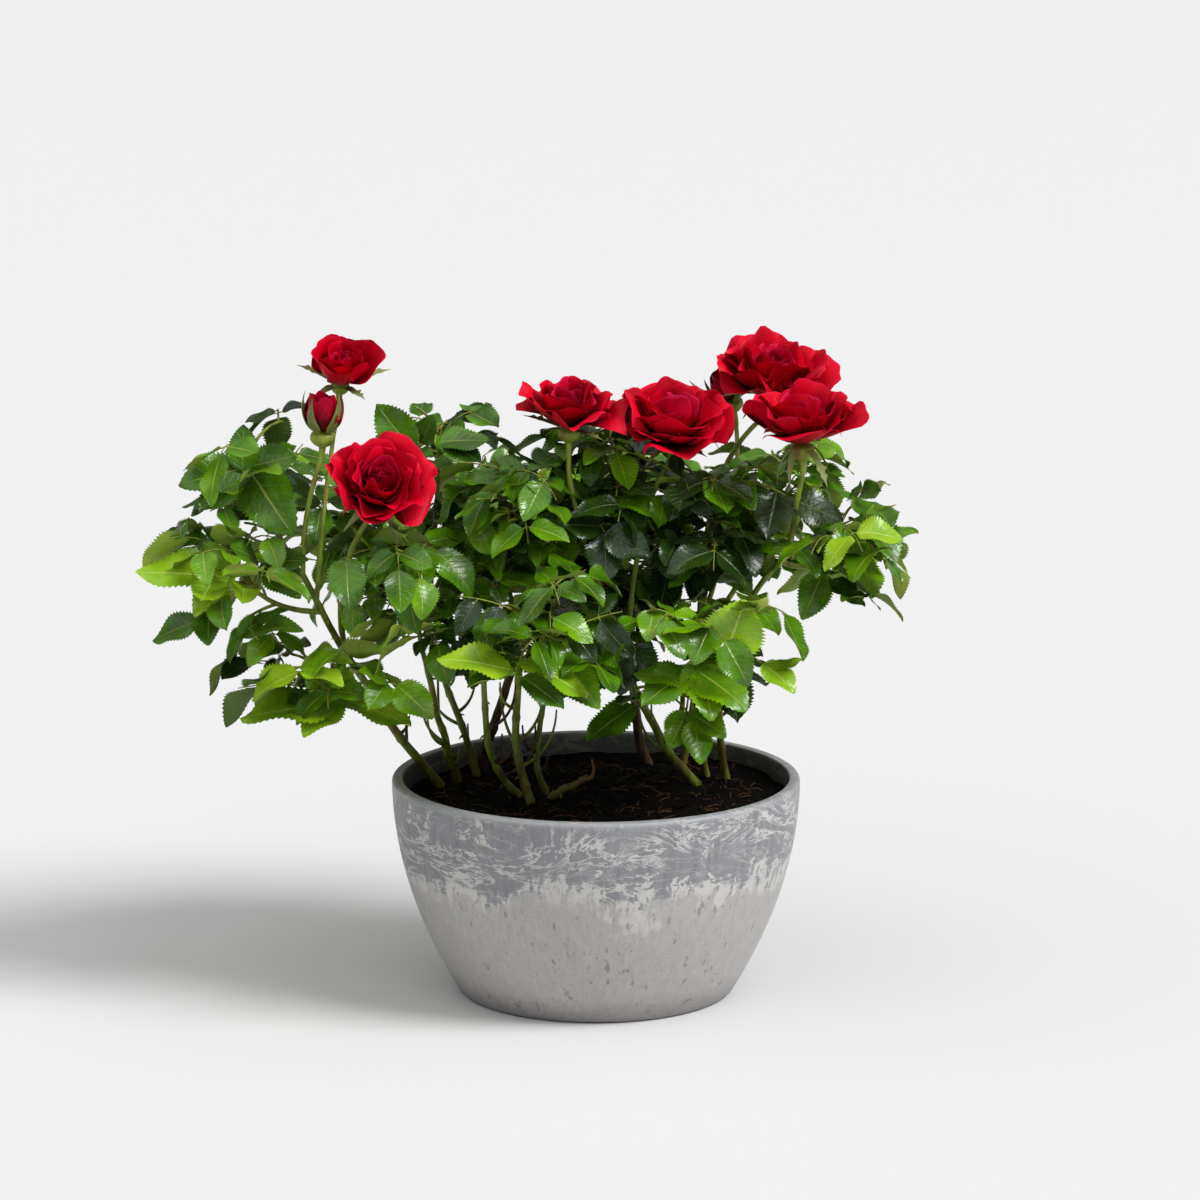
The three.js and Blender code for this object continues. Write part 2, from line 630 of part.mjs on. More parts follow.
// Stands a piece that was made along Z on a point, turned to face a direction.
function stand(geometry, point, facing) {
  const turn = new THREE.Quaternion().setFromUnitVectors(UP, facing);
  return geometry.applyMatrix4(new THREE.Matrix4().compose(point, turn, new THREE.Vector3(1, 1, 1)));
}

// ---- Bowl and soil ----
// The bowl's outer radius at a height: a parabola that stands upright at the rim.
const bowlRadius = (z) => POT.rimRadius - (POT.rimRadius - POT.footRadius) * (1 - z / POT.height) ** 2;

// The bowl's inner wall, from its lip down to its floor.
function innerWall() {
  const { height, wall, floor, lip, steps } = POT;
  return Array.from({ length: steps }, (_, i) => {
    const z = THREE.MathUtils.lerp(height - lip, floor, i / (steps - 1));
    return [bowlRadius(z) - wall, z];
  });
}

function potGeometry() {
  const { height, wall, floor, lip, foot, sides, steps } = POT;
  const outer = [[bowlRadius(0) - foot, 0]];
  for (let i = 0; i <= steps; i++) {
    const z = THREE.MathUtils.lerp(foot, height - lip, i / steps);
    outer.push([bowlRadius(z), z]);
  }
  const rim = [
    [POT.rimRadius - 0.3 * lip, height - 0.3 * lip],
    [POT.rimRadius - lip, height],
    [POT.rimRadius - wall + 0.5 * lip, height],
  ];
  return lathe([[0, 0], ...outer, ...rim, ...innerWall(), [0, floor]], sides);
}

// Soil fills the bowl, clear of its wall, and is drawn up a little at its edge.
function soilGeometry() {
  const inside = innerWall();
  const facets = 1 - (Math.PI / POT.sides) ** 2; // a faceted wall cuts inwards between its corners
  const fit = (z) => {
    const k = inside.findIndex(([, low]) => low <= z);
    const [[r1, z1], [r0, z0]] = [inside[k - 1], inside[k]];
    return THREE.MathUtils.mapLinear(z, z0, z1, r0, r1) * facets - 2 * SEAT;
  };
  const base = POT.floor + SEAT;
  const edge = SOIL.top + SOIL.edgeRise;
  const heights = [base, ...inside.slice(1, -1).reverse().map(([, z]) => z), edge];
  const side = heights.map((z) => [fit(z), z]);
  return lathe([[0, base], ...side, [fit(edge) - SOIL.edgeWidth, SOIL.top], [0, SOIL.top]], SOIL.sides);
}

// ---- Assembly ----
const looks = Object.fromEntries(
  Object.entries(COLOURS).map(([name, [color, roughness]]) => [
    name,
    new THREE.MeshStandardMaterial({ color, roughness, metalness: 0 }),
  ]),
);

const bush = new THREE.Group();
function add(name, geometry, look) {
  const mesh = new THREE.Mesh(geometry, look);
  mesh.name = name;
  bush.add(mesh);
}

add("pot", potGeometry(), looks.pot);
add("soil", soilGeometry(), looks.soil);

for (const [name, plan] of Object.entries({ ...CANES, ...BOUGHS })) {
  add(name, geometryOf(limbSolid(growLimb(name, plan))), plan.old ? looks.oldWood : looks.greenWood);
}

for (const [name, plan] of Object.entries(STALKS)) growLimb(name, plan);
for (const [name, plan] of Object.entries(BLOOMS)) {
  const facing = vec(plan.facing).normalize();
  const neck = neckOf(plan);
  const neckEnd = neck.curve.getPoint(1);
  const neckStations = taper(neck.curve, neck.radii, NECK.steps).slice(1);
  const onward = [...neckStations, ...hipStations(neckEnd, facing, plan.hip)];
  add(plan.stalk, geometryOf(limbSolid(limbs.get(plan.stalk), onward)), looks.greenWood);

  const base = neckEnd.clone().addScaledVector(facing, plan.hip[1]);
  const petals = plan.bud ? budPetals(plan) : rosePetals(plan);
  add(name, geometryOf(fuse(petals.map((petal) => stand(petal, base, facing)))), looks.petals);
  noteLimb(neck);
  const depth = (plan.bud ? 1.3 : 0.5) * plan.radius;
  blooms.push({ heart: base.clone().addScaledVector(facing, depth), facing, radius: plan.radius, depth });
}

const stems = Object.values(MASSES).map(stemOf);
stems.forEach((stem) => noteLimb(stem));
Object.entries(MASSES).forEach(([name, mass], i) => {
  add(name, geometryOf(massSolid(mass, i + 1, stems[i])), mass.young ? looks.youngLeaves : looks.leaves);
});

export default bush;
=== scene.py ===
# A miniature rose bush in a round stone-look bowl. Canes rise from the soil, twigs grow on from them
# with compound leaves, and six open roses and two buds stand above. Sizes here are in millimetres.
import math
import bpy
import numpy as np
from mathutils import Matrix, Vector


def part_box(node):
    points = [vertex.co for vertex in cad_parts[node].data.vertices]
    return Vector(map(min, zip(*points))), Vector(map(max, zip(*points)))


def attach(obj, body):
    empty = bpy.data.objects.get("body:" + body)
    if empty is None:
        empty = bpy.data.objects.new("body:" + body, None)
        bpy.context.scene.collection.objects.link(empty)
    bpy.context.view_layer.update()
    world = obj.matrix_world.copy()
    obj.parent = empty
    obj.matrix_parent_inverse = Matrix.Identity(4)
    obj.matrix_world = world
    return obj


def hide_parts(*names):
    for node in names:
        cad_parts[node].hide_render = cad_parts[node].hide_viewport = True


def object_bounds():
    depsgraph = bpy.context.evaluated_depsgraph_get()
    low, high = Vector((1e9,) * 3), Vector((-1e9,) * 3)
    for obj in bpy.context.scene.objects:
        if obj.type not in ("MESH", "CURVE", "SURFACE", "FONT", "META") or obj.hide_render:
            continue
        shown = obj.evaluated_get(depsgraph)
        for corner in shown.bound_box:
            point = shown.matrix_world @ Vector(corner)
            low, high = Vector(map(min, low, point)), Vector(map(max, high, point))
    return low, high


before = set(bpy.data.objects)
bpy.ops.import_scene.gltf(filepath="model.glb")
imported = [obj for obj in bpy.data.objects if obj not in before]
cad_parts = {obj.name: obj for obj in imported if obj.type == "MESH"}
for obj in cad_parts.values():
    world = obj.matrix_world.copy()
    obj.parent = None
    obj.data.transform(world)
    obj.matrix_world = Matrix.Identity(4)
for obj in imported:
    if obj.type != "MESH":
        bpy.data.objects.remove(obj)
cad_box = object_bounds()

MM = 0.001
UP = np.array([0.0, 0.0, 1.0])
GOLDEN = math.radians(137.5)
FIFTH = 2 * math.pi / 5

# ---- Sizes ----
POT_LOW, POT_HIGH = (np.array(corner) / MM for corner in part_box("pot"))
POT = {
    "height": POT_HIGH[2], "rim": POT_HIGH[0], "foot": 67, "wall": 5.5, "floor": 6, "lip": 2, "hollow": 0.6,
}
SOIL = {"top": 95, "edge": (80, 13), "edge_rise": 2.5, "lean": 1.6, "lumps": 1.5, "grit": 0.55, "depth": 9}
SEAT = 0.3  # clearance between two pieces that touch
HUB = 0.02  # radius of the last ring in the middle of a turned mesh
LIMB = {"sides": 14, "step": 2.2, "sunk": 3.5, "slim": 0.86, "flare": 0.12}
THORN = {"places": (0.12, 0.9), "size": (1.6, 2.8), "thick": 0.3, "hook": 0.45}
SPUR = {"places": (0.14, 0.62), "length": (9, 34), "radii": (1.0, 0.45)}
STEM = {"radii": (1.5, 0.8), "bow": 0.62, "reach": 0.45}
NECK = {"length": 8, "radius": 1.7}
PETAL = {"lift": 1.2, "rows": 16, "columns": 17}
SEPAL = {
    "rows": 12, "open": (20, 2.6), "closed": (22, 3.9), "lobes": ((1.7, 0.55), (1.2, 0.74)), "sway": 2.5,
}

# Each limb runs from its root through a middle point to its tip, and thins from its first radius to
# its second. A root is a point on the soil, or a place on an earlier limb: its name and the share of
# its length.
CANES = {
    "cane_left_outer": ((-77.5, 29), (-109.7, 5, 146), (-141, -25, 212), (2.7, 1.7)),
    "cane_left_inner": ((-69, 40), (-76, 22, 124), (-83, 2, 163), (2.4, 1.7)),
    "cane_left_wood": ((-57, 62), (-51, 52, 122), (-38, 45, 160), (3.2, 2.2)),
    "cane_left_back": ((-60, 54), (-72, 58, 132), (-88, 50, 178), (2.2, 1.6)),
    "cane_mid_bent": ((-38, 8), (-52, -3, 122), (-54, -10, 172), (2.2, 1.6)),
    "cane_mid_main": ((-32, -4), (-39, -6, 134), (-33, -18, 193), (2.6, 1.8)),
    "cane_mid_right": ((-24, 10), (-29, 11, 120), (-20, 18, 156), (1.9, 1.4)),
    "cane_right_main": ((50, 29), (26.5, 12, 132), (12.6, -10, 176), (2.8, 1.8)),
    "cane_right_wood": ((26, 74), (20, 70, 120), (17, 62, 160), (3, 2.2)),
    "cane_right_up": ((55, 50), (50, 35, 137), (52, 15, 180), (2.2, 1.6)),
    "cane_right_outer": ((65, 42), (64, 15, 165), (93, -10, 219), (2.2, 1.5)),
    "cane_right_back": ((44, 68), (52, 74, 138), (66, 72, 180), (2.1, 1.5)),
}
OLD_WOOD = ("cane_left_wood", "cane_right_wood")
BOUGHS = {
    "bough_left_low": (("cane_left_outer", 0.42), (-113, -8, 143), (-123, -22, 150), (1.2, 0.9)),
    "bough_right_fork": (("cane_right_main", 0.3), (41, 4, 133), (42, -14, 150), (1.8, 1.4)),
    "cut_stub": ((-22, 2), (-14, -3, 101), (-4, -5, 107), (2.2, 1.6)),
}
STALKS = {
    "stalk_bud_left": (("cane_left_outer", 1), (-138, -30, 244), (-132, -33, 268), (1.5, 1.3)),
    "stalk_rose_left_high": (("cane_left_outer", 0.9), (-130, -6, 252), (-125, 3, 289), (1.4, 1.2)),
    "stalk_rose_left_low": (("cane_left_outer", 0.68), (-122, -28, 209), (-109, -31, 240), (1.7, 1.5)),
    "stalk_rose_mid_left": (("cane_right_main", 1), (-7, -19, 232), (-13, -20, 268), (1.6, 1.5)),
    "stalk_rose_mid_right": (("cane_right_main", 0.9), (21, -8, 224), (34, -11, 262), (1.6, 1.4)),
    "stalk_bud_right": (("cane_right_up", 1), (66, 24, 232), (69, 42, 273), (1.5, 1.3)),
    "stalk_rose_back": (("cane_right_up", 0.86), (58, 22, 240), (82, 23, 281), (1.6, 1.4)),
    "stalk_rose_right": (("cane_right_outer", 1), (96, -24, 243), (98.5, -34, 262), (1.5, 1.4)),
}

# Each bloom has the way it faces, its radius, how far its outer petals lie back, its number of petals,
# its hip's radius and length, and how far its sepals bend: 0 stands up and 1 hangs down.
BLOOM_PARTS = ("facing", "radius", "spread", "petals", "hip", "sepals")
BLOOMS = {
    "rose_left_high": ((0.1, -0.5, 0.86), 18.5, 0.18, 24, (4.6, 6), 0.5),
    "rose_left_low": ((0.16, -0.7, 0.72), 28.5, 0.62, 30, (5.2, 9), 0.75),
    "rose_mid_left": ((0.02, -0.2, 1), 27, 0.6, 30, (5.8, 7), 0.5),
    "rose_mid_right": ((0.02, -0.34, 0.94), 32, 0.66, 34, (5.2, 6), 0.55),
    "rose_back": ((0, -0.36, 0.93), 32, 0.64, 36, (5, 6), 0.6),
    "rose_right": ((-0.06, -0.14, 0.99), 30, 0.5, 30, (5.8, 8), 0.95),
    "bud_left": ((0.04, -0.06, 1), 11, 0, 11, (6.2, 7), 0.1),
    "bud_right": ((-0.25, -0.25, 0.94), 10, 0, 11, (5.8, 6.5), 0.4),
}

# Leaves come in four tints. A mass has how often each one is dealt to a leaf.
OLD, MID, FRESH, YOUNG = range(4)
# The masses in the heart of the bush take mostly dark leaves: partly the darker colour of older leaves,
# partly painted shade where the crown is deepest.
DARK_LEAVES_AND_SHADE = (0.52, 0.4, 0.08, 0)
GREEN = (0.14, 0.56, 0.26, 0.04)
BRIGHT = (0.04, 0.42, 0.42, 0.12)

# A mass of leaves fills an egg-shaped space. Each has the place on a limb that it grows on, its centre,
# its half sizes, its number of shoots, the length of a leaflet, the share of its buds that carry a
# leaf, and its tints.
MASS_PARTS = ("on", "centre", "half", "leaves", "leaflet", "fill", "tints")
MASS_ROWS = {
    "leaves_left_high": (("cane_left_outer", 0.97), (-166, -14, 256), (50, 46, 44), 6, 33, 0.2, GREEN),
    "leaves_left_far": (("cane_left_outer", 0.86), (-176, -22, 204), (52, 46, 38), 6, 35, 0.26, BRIGHT),
    "leaves_left_low": (("bough_left_low", 1), (-134, -24, 152), (56, 46, 32), 5, 36, 0.22, GREEN),
    "leaves_left_heart": (("cane_left_back", 1), (-122, 42, 216), (50, 50, 50), 5, 32, 0.5, GREEN),
    "leaves_left_front": (("cane_left_inner", 1), (-88, -26, 200), (44, 48, 50), 6, 32, 0.6, GREEN),
    "leaves_left_top": (("cane_left_back", 0.9), (-76, 22, 258), (50, 46, 42), 5, 32, 0.34, GREEN),
    "leaves_mid_left": (("cane_mid_bent", 1), (-40, -14, 236), (42, 46, 44), 6, 32, 0.75, GREEN),
    "leaves_mid_front": (("cane_mid_main", 0.85), (-20, -62, 190), (54, 46, 38), 6, 33, 0.42, GREEN),
    "leaves_mid_top": (("cane_mid_main", 1), (12, 4, 248), (42, 46, 42), 6, 31, 0.9, DARK_LEAVES_AND_SHADE),
    "leaves_mid_low": (("cane_mid_right", 1), (2, 14, 184), (46, 46, 36), 5, 31, 1, DARK_LEAVES_AND_SHADE),
    "leaves_back_left": (("cane_left_wood", 1), (-48, 84, 212), (56, 46, 54), 5, 33, 0.75, GREEN),
    "leaves_back_right": (("cane_right_wood", 1), (22, 86, 214), (56, 46, 54), 5, 33, 0.8, GREEN),
    "leaves_right_front": (("bough_right_fork", 1), (52, -48, 178), (50, 46, 38), 6, 35, 0.42, GREEN),
    "leaves_right_heart": (("cane_right_up", 0.94), (56, -12, 234), (42, 46, 44), 6, 31, 0.85, DARK_LEAVES_AND_SHADE),
    "leaves_right_far": (("cane_right_outer", 0.96), (118, -6, 214), (50, 48, 40), 6, 34, 0.34, GREEN),
    "leaves_right_back": (("cane_right_back", 1), (84, 62, 224), (52, 50, 52), 5, 32, 0.62, GREEN),
}
MASSES = {name: dict(zip(MASS_PARTS, row)) for name, row in MASS_ROWS.items()}
SPACE_CENTRES = np.array([mass["centre"] for mass in MASSES.values()], float)
SPACE_HALVES = np.array([mass["half"] for mass in MASSES.values()], float)

# The leaf rule. Each pair on a stalk has its place, its turn and its size beside the end leaflet's.
LEAF = {
    "pairs": ((0.66, 1.13, 0.86), (0.26, 1.36, 0.7)),
    "widest": 0.43, "width": 0.72, "sag": 0.2, "disc": 0.42, "apart": 1.3, "gap": 1.5, "border": 0.03,
    "furthest": 1.12,
}
GROWTH = {
    "first": 0.3, "wander": (-0.6, 0.6), "tries": 12, "retry": 0.8, "forward": (0.2, 0.7), "lift": 0.25,
    "rise": (-0.6, 0.85), "follow": 0.5, "droop": (-1, -0.2), "roll": (-0.65, 0.65), "size": (0.85, 1.2),
    "two_pairs": 0.85, "stalk": {1: (0.6, 0.85), 2: (0.98, 1.23)},
}
STALK_TESTS = np.array([0.15, 0.3, 0.44, 0.58, 0.72, 0.86, 1])
BLADE_TESTS = np.array([(t, s) for t in (0.12, 0.27, 0.43, 0.6, 0.8, 1) for s in (-1, 0, 1)]).T

# A twig takes the first part of a stalk that the rule lays out, and carries life-size leaves. Each
# leaf has its place on the twig and its turn from it.
TWIG = {
    "share": 0.5, "radii": (0.9, 0.6), "leaflet": 0.9, "disc": 0.28, "apart": 0.4, "tries": 6, "on_stem": 9,
    "leaves": ((1, 0), (0.85, 1.05), (0.6, -1.0), (0.95, -0.7), (0.3, 1.25), (0.12, -1.3), (0.45, 2.2)),
}
LIFE_SIZE = {
    "size": (0.78, 1.16), "turn": 1.1, "lift": 0.9, "rise": (-0.7, 0.9), "follow": 0.4,
    "droop": (-0.8, 0.2), "roll": 1.1, "outward": 0.38, "two_pairs": 0.7,
    "stalk": {1: (0.55, 0.8), 2: (0.95, 1.2)},
}
BLADE = {"teeth": 17, "width": (0.56, 0.74), "fold": (0.08, 0.4), "curl": (0.1, 0.8), "petiole": 1.6}
SPRAY = {
    "radii": (0.85, 0.42), "rise": 0.14, "first_pair": 1, "pair": 4, "furthest": 0.35, "petiole": 0.8,
    "width": (0.94, 1.08), "fold": (0.06, 0.22), "curl": (0.1, 0.4),
}
BUSH_AXIS = np.array([-15.0, 10, 150])
REACH_LOW, REACH_HIGH = (np.array(corner) / MM for corner in cad_box)


def posed(mass, hub, tint, face, *tips, width=0.68, limb=None):
    """A spray that stands out from its mass. It hangs on the mass's stem, or on a limb, by its hub.
    Its leaflets are given by their tips, the end leaflet first, and they face one way."""
    return {
        "mass": "leaves_" + mass, "hub": hub, "tint": tint, "face": face, "tips": tips,
        "width": width, "limb": limb,
    }


SPRAYS = (
    posed("left_high", (-169, -26, 262), MID, (-0.1, -0.8, 0.55),
          (-169, -22, 285), (-143, -20, 270), (-200, -30, 258), (-145, -42, 235), (-190, -36, 246)),
    posed("left_far", (-174, -38, 213), YOUNG, (-0.1, -0.5, 0.85),
          (-220, -42, 219), (-188, -32, 230), (-193, -50, 199), width=0.56),
    posed("left_far", (-158, -30, 219), MID, (0.1, -0.6, 0.75),
          (-138, -36, 222), (-172, -44, 231), (-141, -34, 203)),
    posed("left_far", (-190, -28, 190), MID, (-0.2, -0.5, 0.8),
          (-216, -22, 181), (-186, -44, 182), (-178, -36, 204)),
    posed("left_low", (-121, -30, 150), YOUNG, (0.1, -0.25, 0.95),
          (-172, -34, 146), (-143, -24, 167), (-141, -50, 141), (-88, -40, 145)),
    posed("left_low", (-96, -44, 162), FRESH, (0.1, -0.55, 0.8),
          (-78, -60, 151), (-112, -52, 172), (-108, -60, 155)),
    posed("mid_front", (-38, -84, 177), YOUNG, (0.05, -0.3, 0.95),
          (-74, -86, 188), (-1, -84, 169), (-21, -97, 180)),
    posed("right_front", (46, -66, 169), FRESH, (0.05, -0.45, 0.9),
          (18, -66, 175), (72, -84, 163), (21, -80, 163), (72, -48, 174), (56, -86, 158)),
    posed("right_front", (84, -48, 170), YOUNG, (0.1, -0.2, 1),
          (99, -44, 175), (96, -58, 163)),
    posed("right_front", (61, -68, 181), YOUNG, (0.1, -1, 0.1),
          (71, -70, 208), width=1.02),
    posed("left_top", (-88, 8, 266), MID, (-0.1, -0.9, 0.4),
          (-107, 14, 289), (-79, 4, 285)),
    posed("left_top", (-78, 0, 272), MID, (0.2, -0.5, 0.85),
          (-51, -4, 277), (-55, -10, 267)),
    posed("right_far", (128, -6, 229), FRESH, (0.1, -0.5, 0.85),
          (156, -12, 231), (138, -24, 221), (120, -26, 222)),
    posed("right_far", (112, -14, 208), MID, (0.3, -0.4, 0.85),
          (131, -18, 196), (112, -32, 215), (100, -24, 190)),
    posed("right_heart", (92, -20, 249), OLD, (0.2, -0.6, 0.75),
          (119, -26, 239), (82, -40, 234)),
    posed("mid_left", (-32, -26, 262), MID, (-0.1, -0.75, 0.65),
          (-62, -30, 260), (-34, -40, 245)),
    posed("mid_top", (43, -26, 257), OLD, (0.05, -0.9, 0.45),
          (35, -40, 242), (38, -16, 271), (58, -36, 244)),
    posed("right_front", (47, -32, 142), FRESH, (0.2, -0.8, 0.5),
          (51, -46, 124), (63, -40, 137), (36, -44, 132), limb="cane_right_main"),
    posed("mid_front", (-52, -34, 184), OLD, (-0.1, -0.8, 0.55),
          (-60, -44, 160), (-71, -40, 167), (-40, -46, 166)),
    posed("mid_low", (-17, -40, 179), OLD, (0.1, -0.8, 0.5),
          (-16, -50, 156), (-34, -52, 170), (2, -50, 166)),
    posed("mid_low", (19, -36, 177), OLD, (0.1, -0.75, 0.6),
          (-6, -48, 163), (12, -46, 158), (29, -40, 160)),
    posed("mid_low", (19, -34, 150), MID, (-0.3, -0.7, 0.6),
          (-5, -48, 137), (12, -50, 154), limb="cane_right_main"),
    posed("mid_top", (4, -30, 234), OLD, (0, -0.8, 0.6),
          (26, -40, 226), (-16, -40, 240), (6, -42, 212)),
)


# ---- Small helpers ----
def whole(number):
    return number & 0xFFFFFFFF


def chance(seed, index):
    """The same pair of numbers always gives the same share, from 0 to 1."""
    h = whole(seed * 0x9E3779B1) ^ whole((index + 1) * 0x85EBCA6B)
    h = whole((h ^ (h >> 15)) * 0x2C1B3C6D)
    h = whole((h ^ (h >> 12)) * 0x297A2D39)
    return (h ^ (h >> 15)) / 4294967296


def within(limits, share):
    return limits[0] + (limits[1] - limits[0]) * share


def clamp(value, low, high):
    return min(max(value, low), high)


def unit(vectors):
    return vectors / np.linalg.norm(vectors, axis=-1, keepdims=True)


def turned(vector, axis, angle):
    """A vector turned round an axis that is square to it."""
    return vector * math.cos(angle) + np.cross(axis, vector) * math.sin(angle)


def level_way(angle):
    """The level direction at an angle round the bush."""
    return np.array([math.cos(angle), math.sin(angle), 0])


def cross_directions(tangent):
    """Two directions square to a tangent."""
    flat = np.array([1.0, 0, 0]) if abs(tangent[2]) > 0.9 else UP
    side = unit(np.cross(flat, tangent))
    return side, np.cross(tangent, side)


class Bend:
    """The curve that starts at a, passes through b half way, and ends at c."""

    def __init__(self, a, b, c):
        self.start, self.end = np.array(a, float), np.array(c, float)
        self.control = 2 * np.array(b, float) - 0.5 * (self.start + self.end)

    def at(self, t):
        t = np.asarray(t, float)[..., None]
        return (1 - t) ** 2 * self.start + 2 * t * (1 - t) * self.control + t**2 * self.end

    def tangent(self, t):
        t = np.asarray(t, float)[..., None]
        return unit((1 - t) * (self.control - self.start) + t * (self.end - self.control))


def waves(points, scale, seed):
    """Soft seeded noise from -1 to 1 at points in space, from a few crossing waves."""
    draw = np.random.default_rng(seed)
    total = np.zeros(len(points))
    weight = 0
    for octave in range(4):
        for _ in range(4):
            way = unit(draw.normal(size=3))
            total += np.sin(points @ way * (2**octave / scale) * 2.6 + draw.uniform(0, 6.3)) / 1.6**octave
            weight += 0.55 / 1.6**octave
    return np.clip(total / weight, -1, 1)


def stand(name, data):
    """Puts an object with this data in the scene."""
    made = bpy.data.objects.new(name, data)
    bpy.context.scene.collection.objects.link(made)
    return made


class Heap:
    """The points and faces of many small shapes, gathered into one joined mesh."""

    def __init__(self):
        self.points, self.marks, self.faces, self.finishes = [], [], [], []
        self.count = 0

    def add(self, points, faces, marks=None, finish=0):
        self.points.append(points)
        self.marks.append(np.zeros((len(points), 2)) if marks is None else marks)
        for group in faces:
            self.faces.append(np.asarray(group, int) + self.count)
            self.finishes.append(np.full(len(group), finish))
        self.count += len(points)

    def piece(self, name, finishes, nodes=(), slot=None):
        """Makes the object, which rides on the one body and may stand for CAD nodes."""
        mesh = bpy.data.meshes.new(name)
        points = np.concatenate(self.points) * MM
        corners = np.concatenate([group.ravel() for group in self.faces])
        sizes = np.concatenate([np.full(len(group), group.shape[1]) for group in self.faces])
        mesh.vertices.add(len(points))
        mesh.vertices.foreach_set("co", points.ravel())
        mesh.loops.add(len(corners))
        mesh.loops.foreach_set("vertex_index", corners)
        mesh.polygons.add(len(sizes))
        mesh.polygons.foreach_set("loop_start", np.cumsum(sizes) - sizes)
        mesh.polygons.foreach_set("material_index", np.concatenate(self.finishes))
        mesh.polygons.foreach_set("use_smooth", np.ones(len(sizes), bool))
        marks = np.concatenate(self.marks)
        mesh.uv_layers.new(name="across_along").data.foreach_set("uv", marks[corners].ravel())
        mesh.update()
        mesh.validate()
        for finish in finishes:
            mesh.materials.append(finish)
        made = stand(name, mesh)
        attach(made, "root")
        if nodes:
            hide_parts(*nodes)


def grid_faces(rows, columns, closed=False):
    """Four-sided faces of a grid of points that is stored row by row."""
    across = columns if closed else columns - 1
    r, c = np.meshgrid(np.arange(rows - 1), np.arange(across), indexing="ij")
    low, c = r.ravel() * columns, c.ravel()
    high, after = low + columns, (c + 1) % columns
    return np.stack([low + c, low + after, high + after, high + c], 1)


def tube(heap, path, radii, sides, finish=0, relief=None):
    """A round limb through a path's points. relief(ring, angle) is a share that it stands proud."""
    path, radii = np.asarray(path, float), np.asarray(radii, float)
    tangents = unit(np.gradient(path, axis=0))
    first = cross_directions(tangents[0])[0]
    side = unit(first - (tangents @ first)[:, None] * tangents)
    front = np.cross(tangents, side)
    angles = np.arange(sides) * (2 * math.pi / sides)
    around = side[:, None] * np.cos(angles)[:, None] + front[:, None] * np.sin(angles)[:, None]
    reach = np.repeat(radii[:, None], sides, 1)
    points = path[:, None] + around * reach[..., None]
    if relief is not None:
        reach = reach * (1 + relief(points.reshape(-1, 3)).reshape(reach.shape))
        points = path[:, None] + around * reach[..., None]
    rings = len(path)
    ends = np.stack([path[0], path[-1] + tangents[-1] * radii[-1] * 0.3])
    low, high = rings * sides, rings * sides + 1
    ring = np.arange(sides)
    after = (ring + 1) % sides
    foot = np.stack([np.full(sides, low), after, ring], 1)
    last = (rings - 1) * sides
    cap = np.stack([np.full(sides, high), last + ring, last + after], 1)
    faces = [grid_faces(rings, sides, closed=True), foot, cap]
    heap.add(np.concatenate([points.reshape(-1, 3), ends]), faces, finish=finish)


# ---- Limbs ----
limbs, stems = {}, {}
limb_places, limb_radii, limb_owners = [], [], []


def note_limb(curve, radii, own=-1):
    """Keeps points along a limb, so that leaves can be kept clear of it."""
    t = np.linspace(0, 1, 37)
    limb_places.extend(curve.at(t))
    limb_radii.extend(within(radii, t))
    limb_owners.extend([own] * len(t))


def grow_limb(name, root, middle, tip, radii):
    """Bends a limb through its three points, and keeps it for the limbs and leaves that grow on it."""
    on_soil = not isinstance(root[0], str)
    if on_soil:
        root = (*root, SOIL["top"] + SEAT)
    else:
        root = limbs[root[0]]["curve"].at(root[1])
    limbs[name] = {"curve": Bend(root, middle, tip), "radii": radii, "on_soil": on_soil}
    note_limb(limbs[name]["curve"], radii)


for limb_name, limb_row in {**CANES, **BOUGHS, **STALKS}.items():
    grow_limb(limb_name, *limb_row)


def limb_path(limb, knots, seed):
    """A limb's points and radii, with a slight crook and a swelling at each knot."""
    curve = limb["curve"]
    length = np.linalg.norm(np.diff(curve.at(np.linspace(0, 1, 20)), axis=0), axis=1).sum()
    t = np.linspace(0, 1, max(6, round(length / LIMB["step"])))
    path = curve.at(t)
    radii = within(limb["radii"], t) * LIMB["slim"]
    side, front = cross_directions(curve.tangent(0.5))
    sway = np.sin(math.pi * t) * 0.5
    path = path + np.outer(sway * np.sin(knots * 3.1 * t + seed), side)
    path = path + np.outer(sway * np.cos(knots * 2.3 * t + seed), front)
    for k in range(knots):
        place = (k + 0.5 + 0.4 * (chance(seed, k) - 0.5)) / knots
        radii = radii * (1 + 0.22 * np.exp(-(((t - place) * length / 1.6) ** 2)))
    if limb["on_soil"]:
        path = np.concatenate([[path[0] - UP * LIMB["sunk"]], path])
        flared = radii * (1 + LIMB["flare"] * np.exp(-t * length / 5))
        radii = np.concatenate([[radii[0] * (1 + LIMB["flare"])], flared])
    return path, radii


def thorn(heap, root, way, size):
    """A small thorn that hooks down."""
    t = np.linspace(0, 1, 5)
    path = root + np.outer(t * size, way) + np.outer(-(t**2) * size * THORN["hook"], UP)
    tube(heap, path, size * THORN["thick"] * (1 - t) ** 0.8 + 0.05, 6)


def thorns(heap, limb, many, seed):
    """A few thorns that turn round a limb on their way up it."""
    curve = limb["curve"]
    for k in range(many):
        t = within(THORN["places"], (k + chance(seed, 40 + k)) / many)
        tangent = curve.tangent(t)
        side, front = cross_directions(tangent)
        angle = k * GOLDEN + seed
        way = side * math.cos(angle) + front * math.sin(angle)
        root = curve.at(t) + way * (within(limb["radii"], t) * 0.8)
        thorn(heap, root, way, within(THORN["size"], chance(seed, 60 + k)))


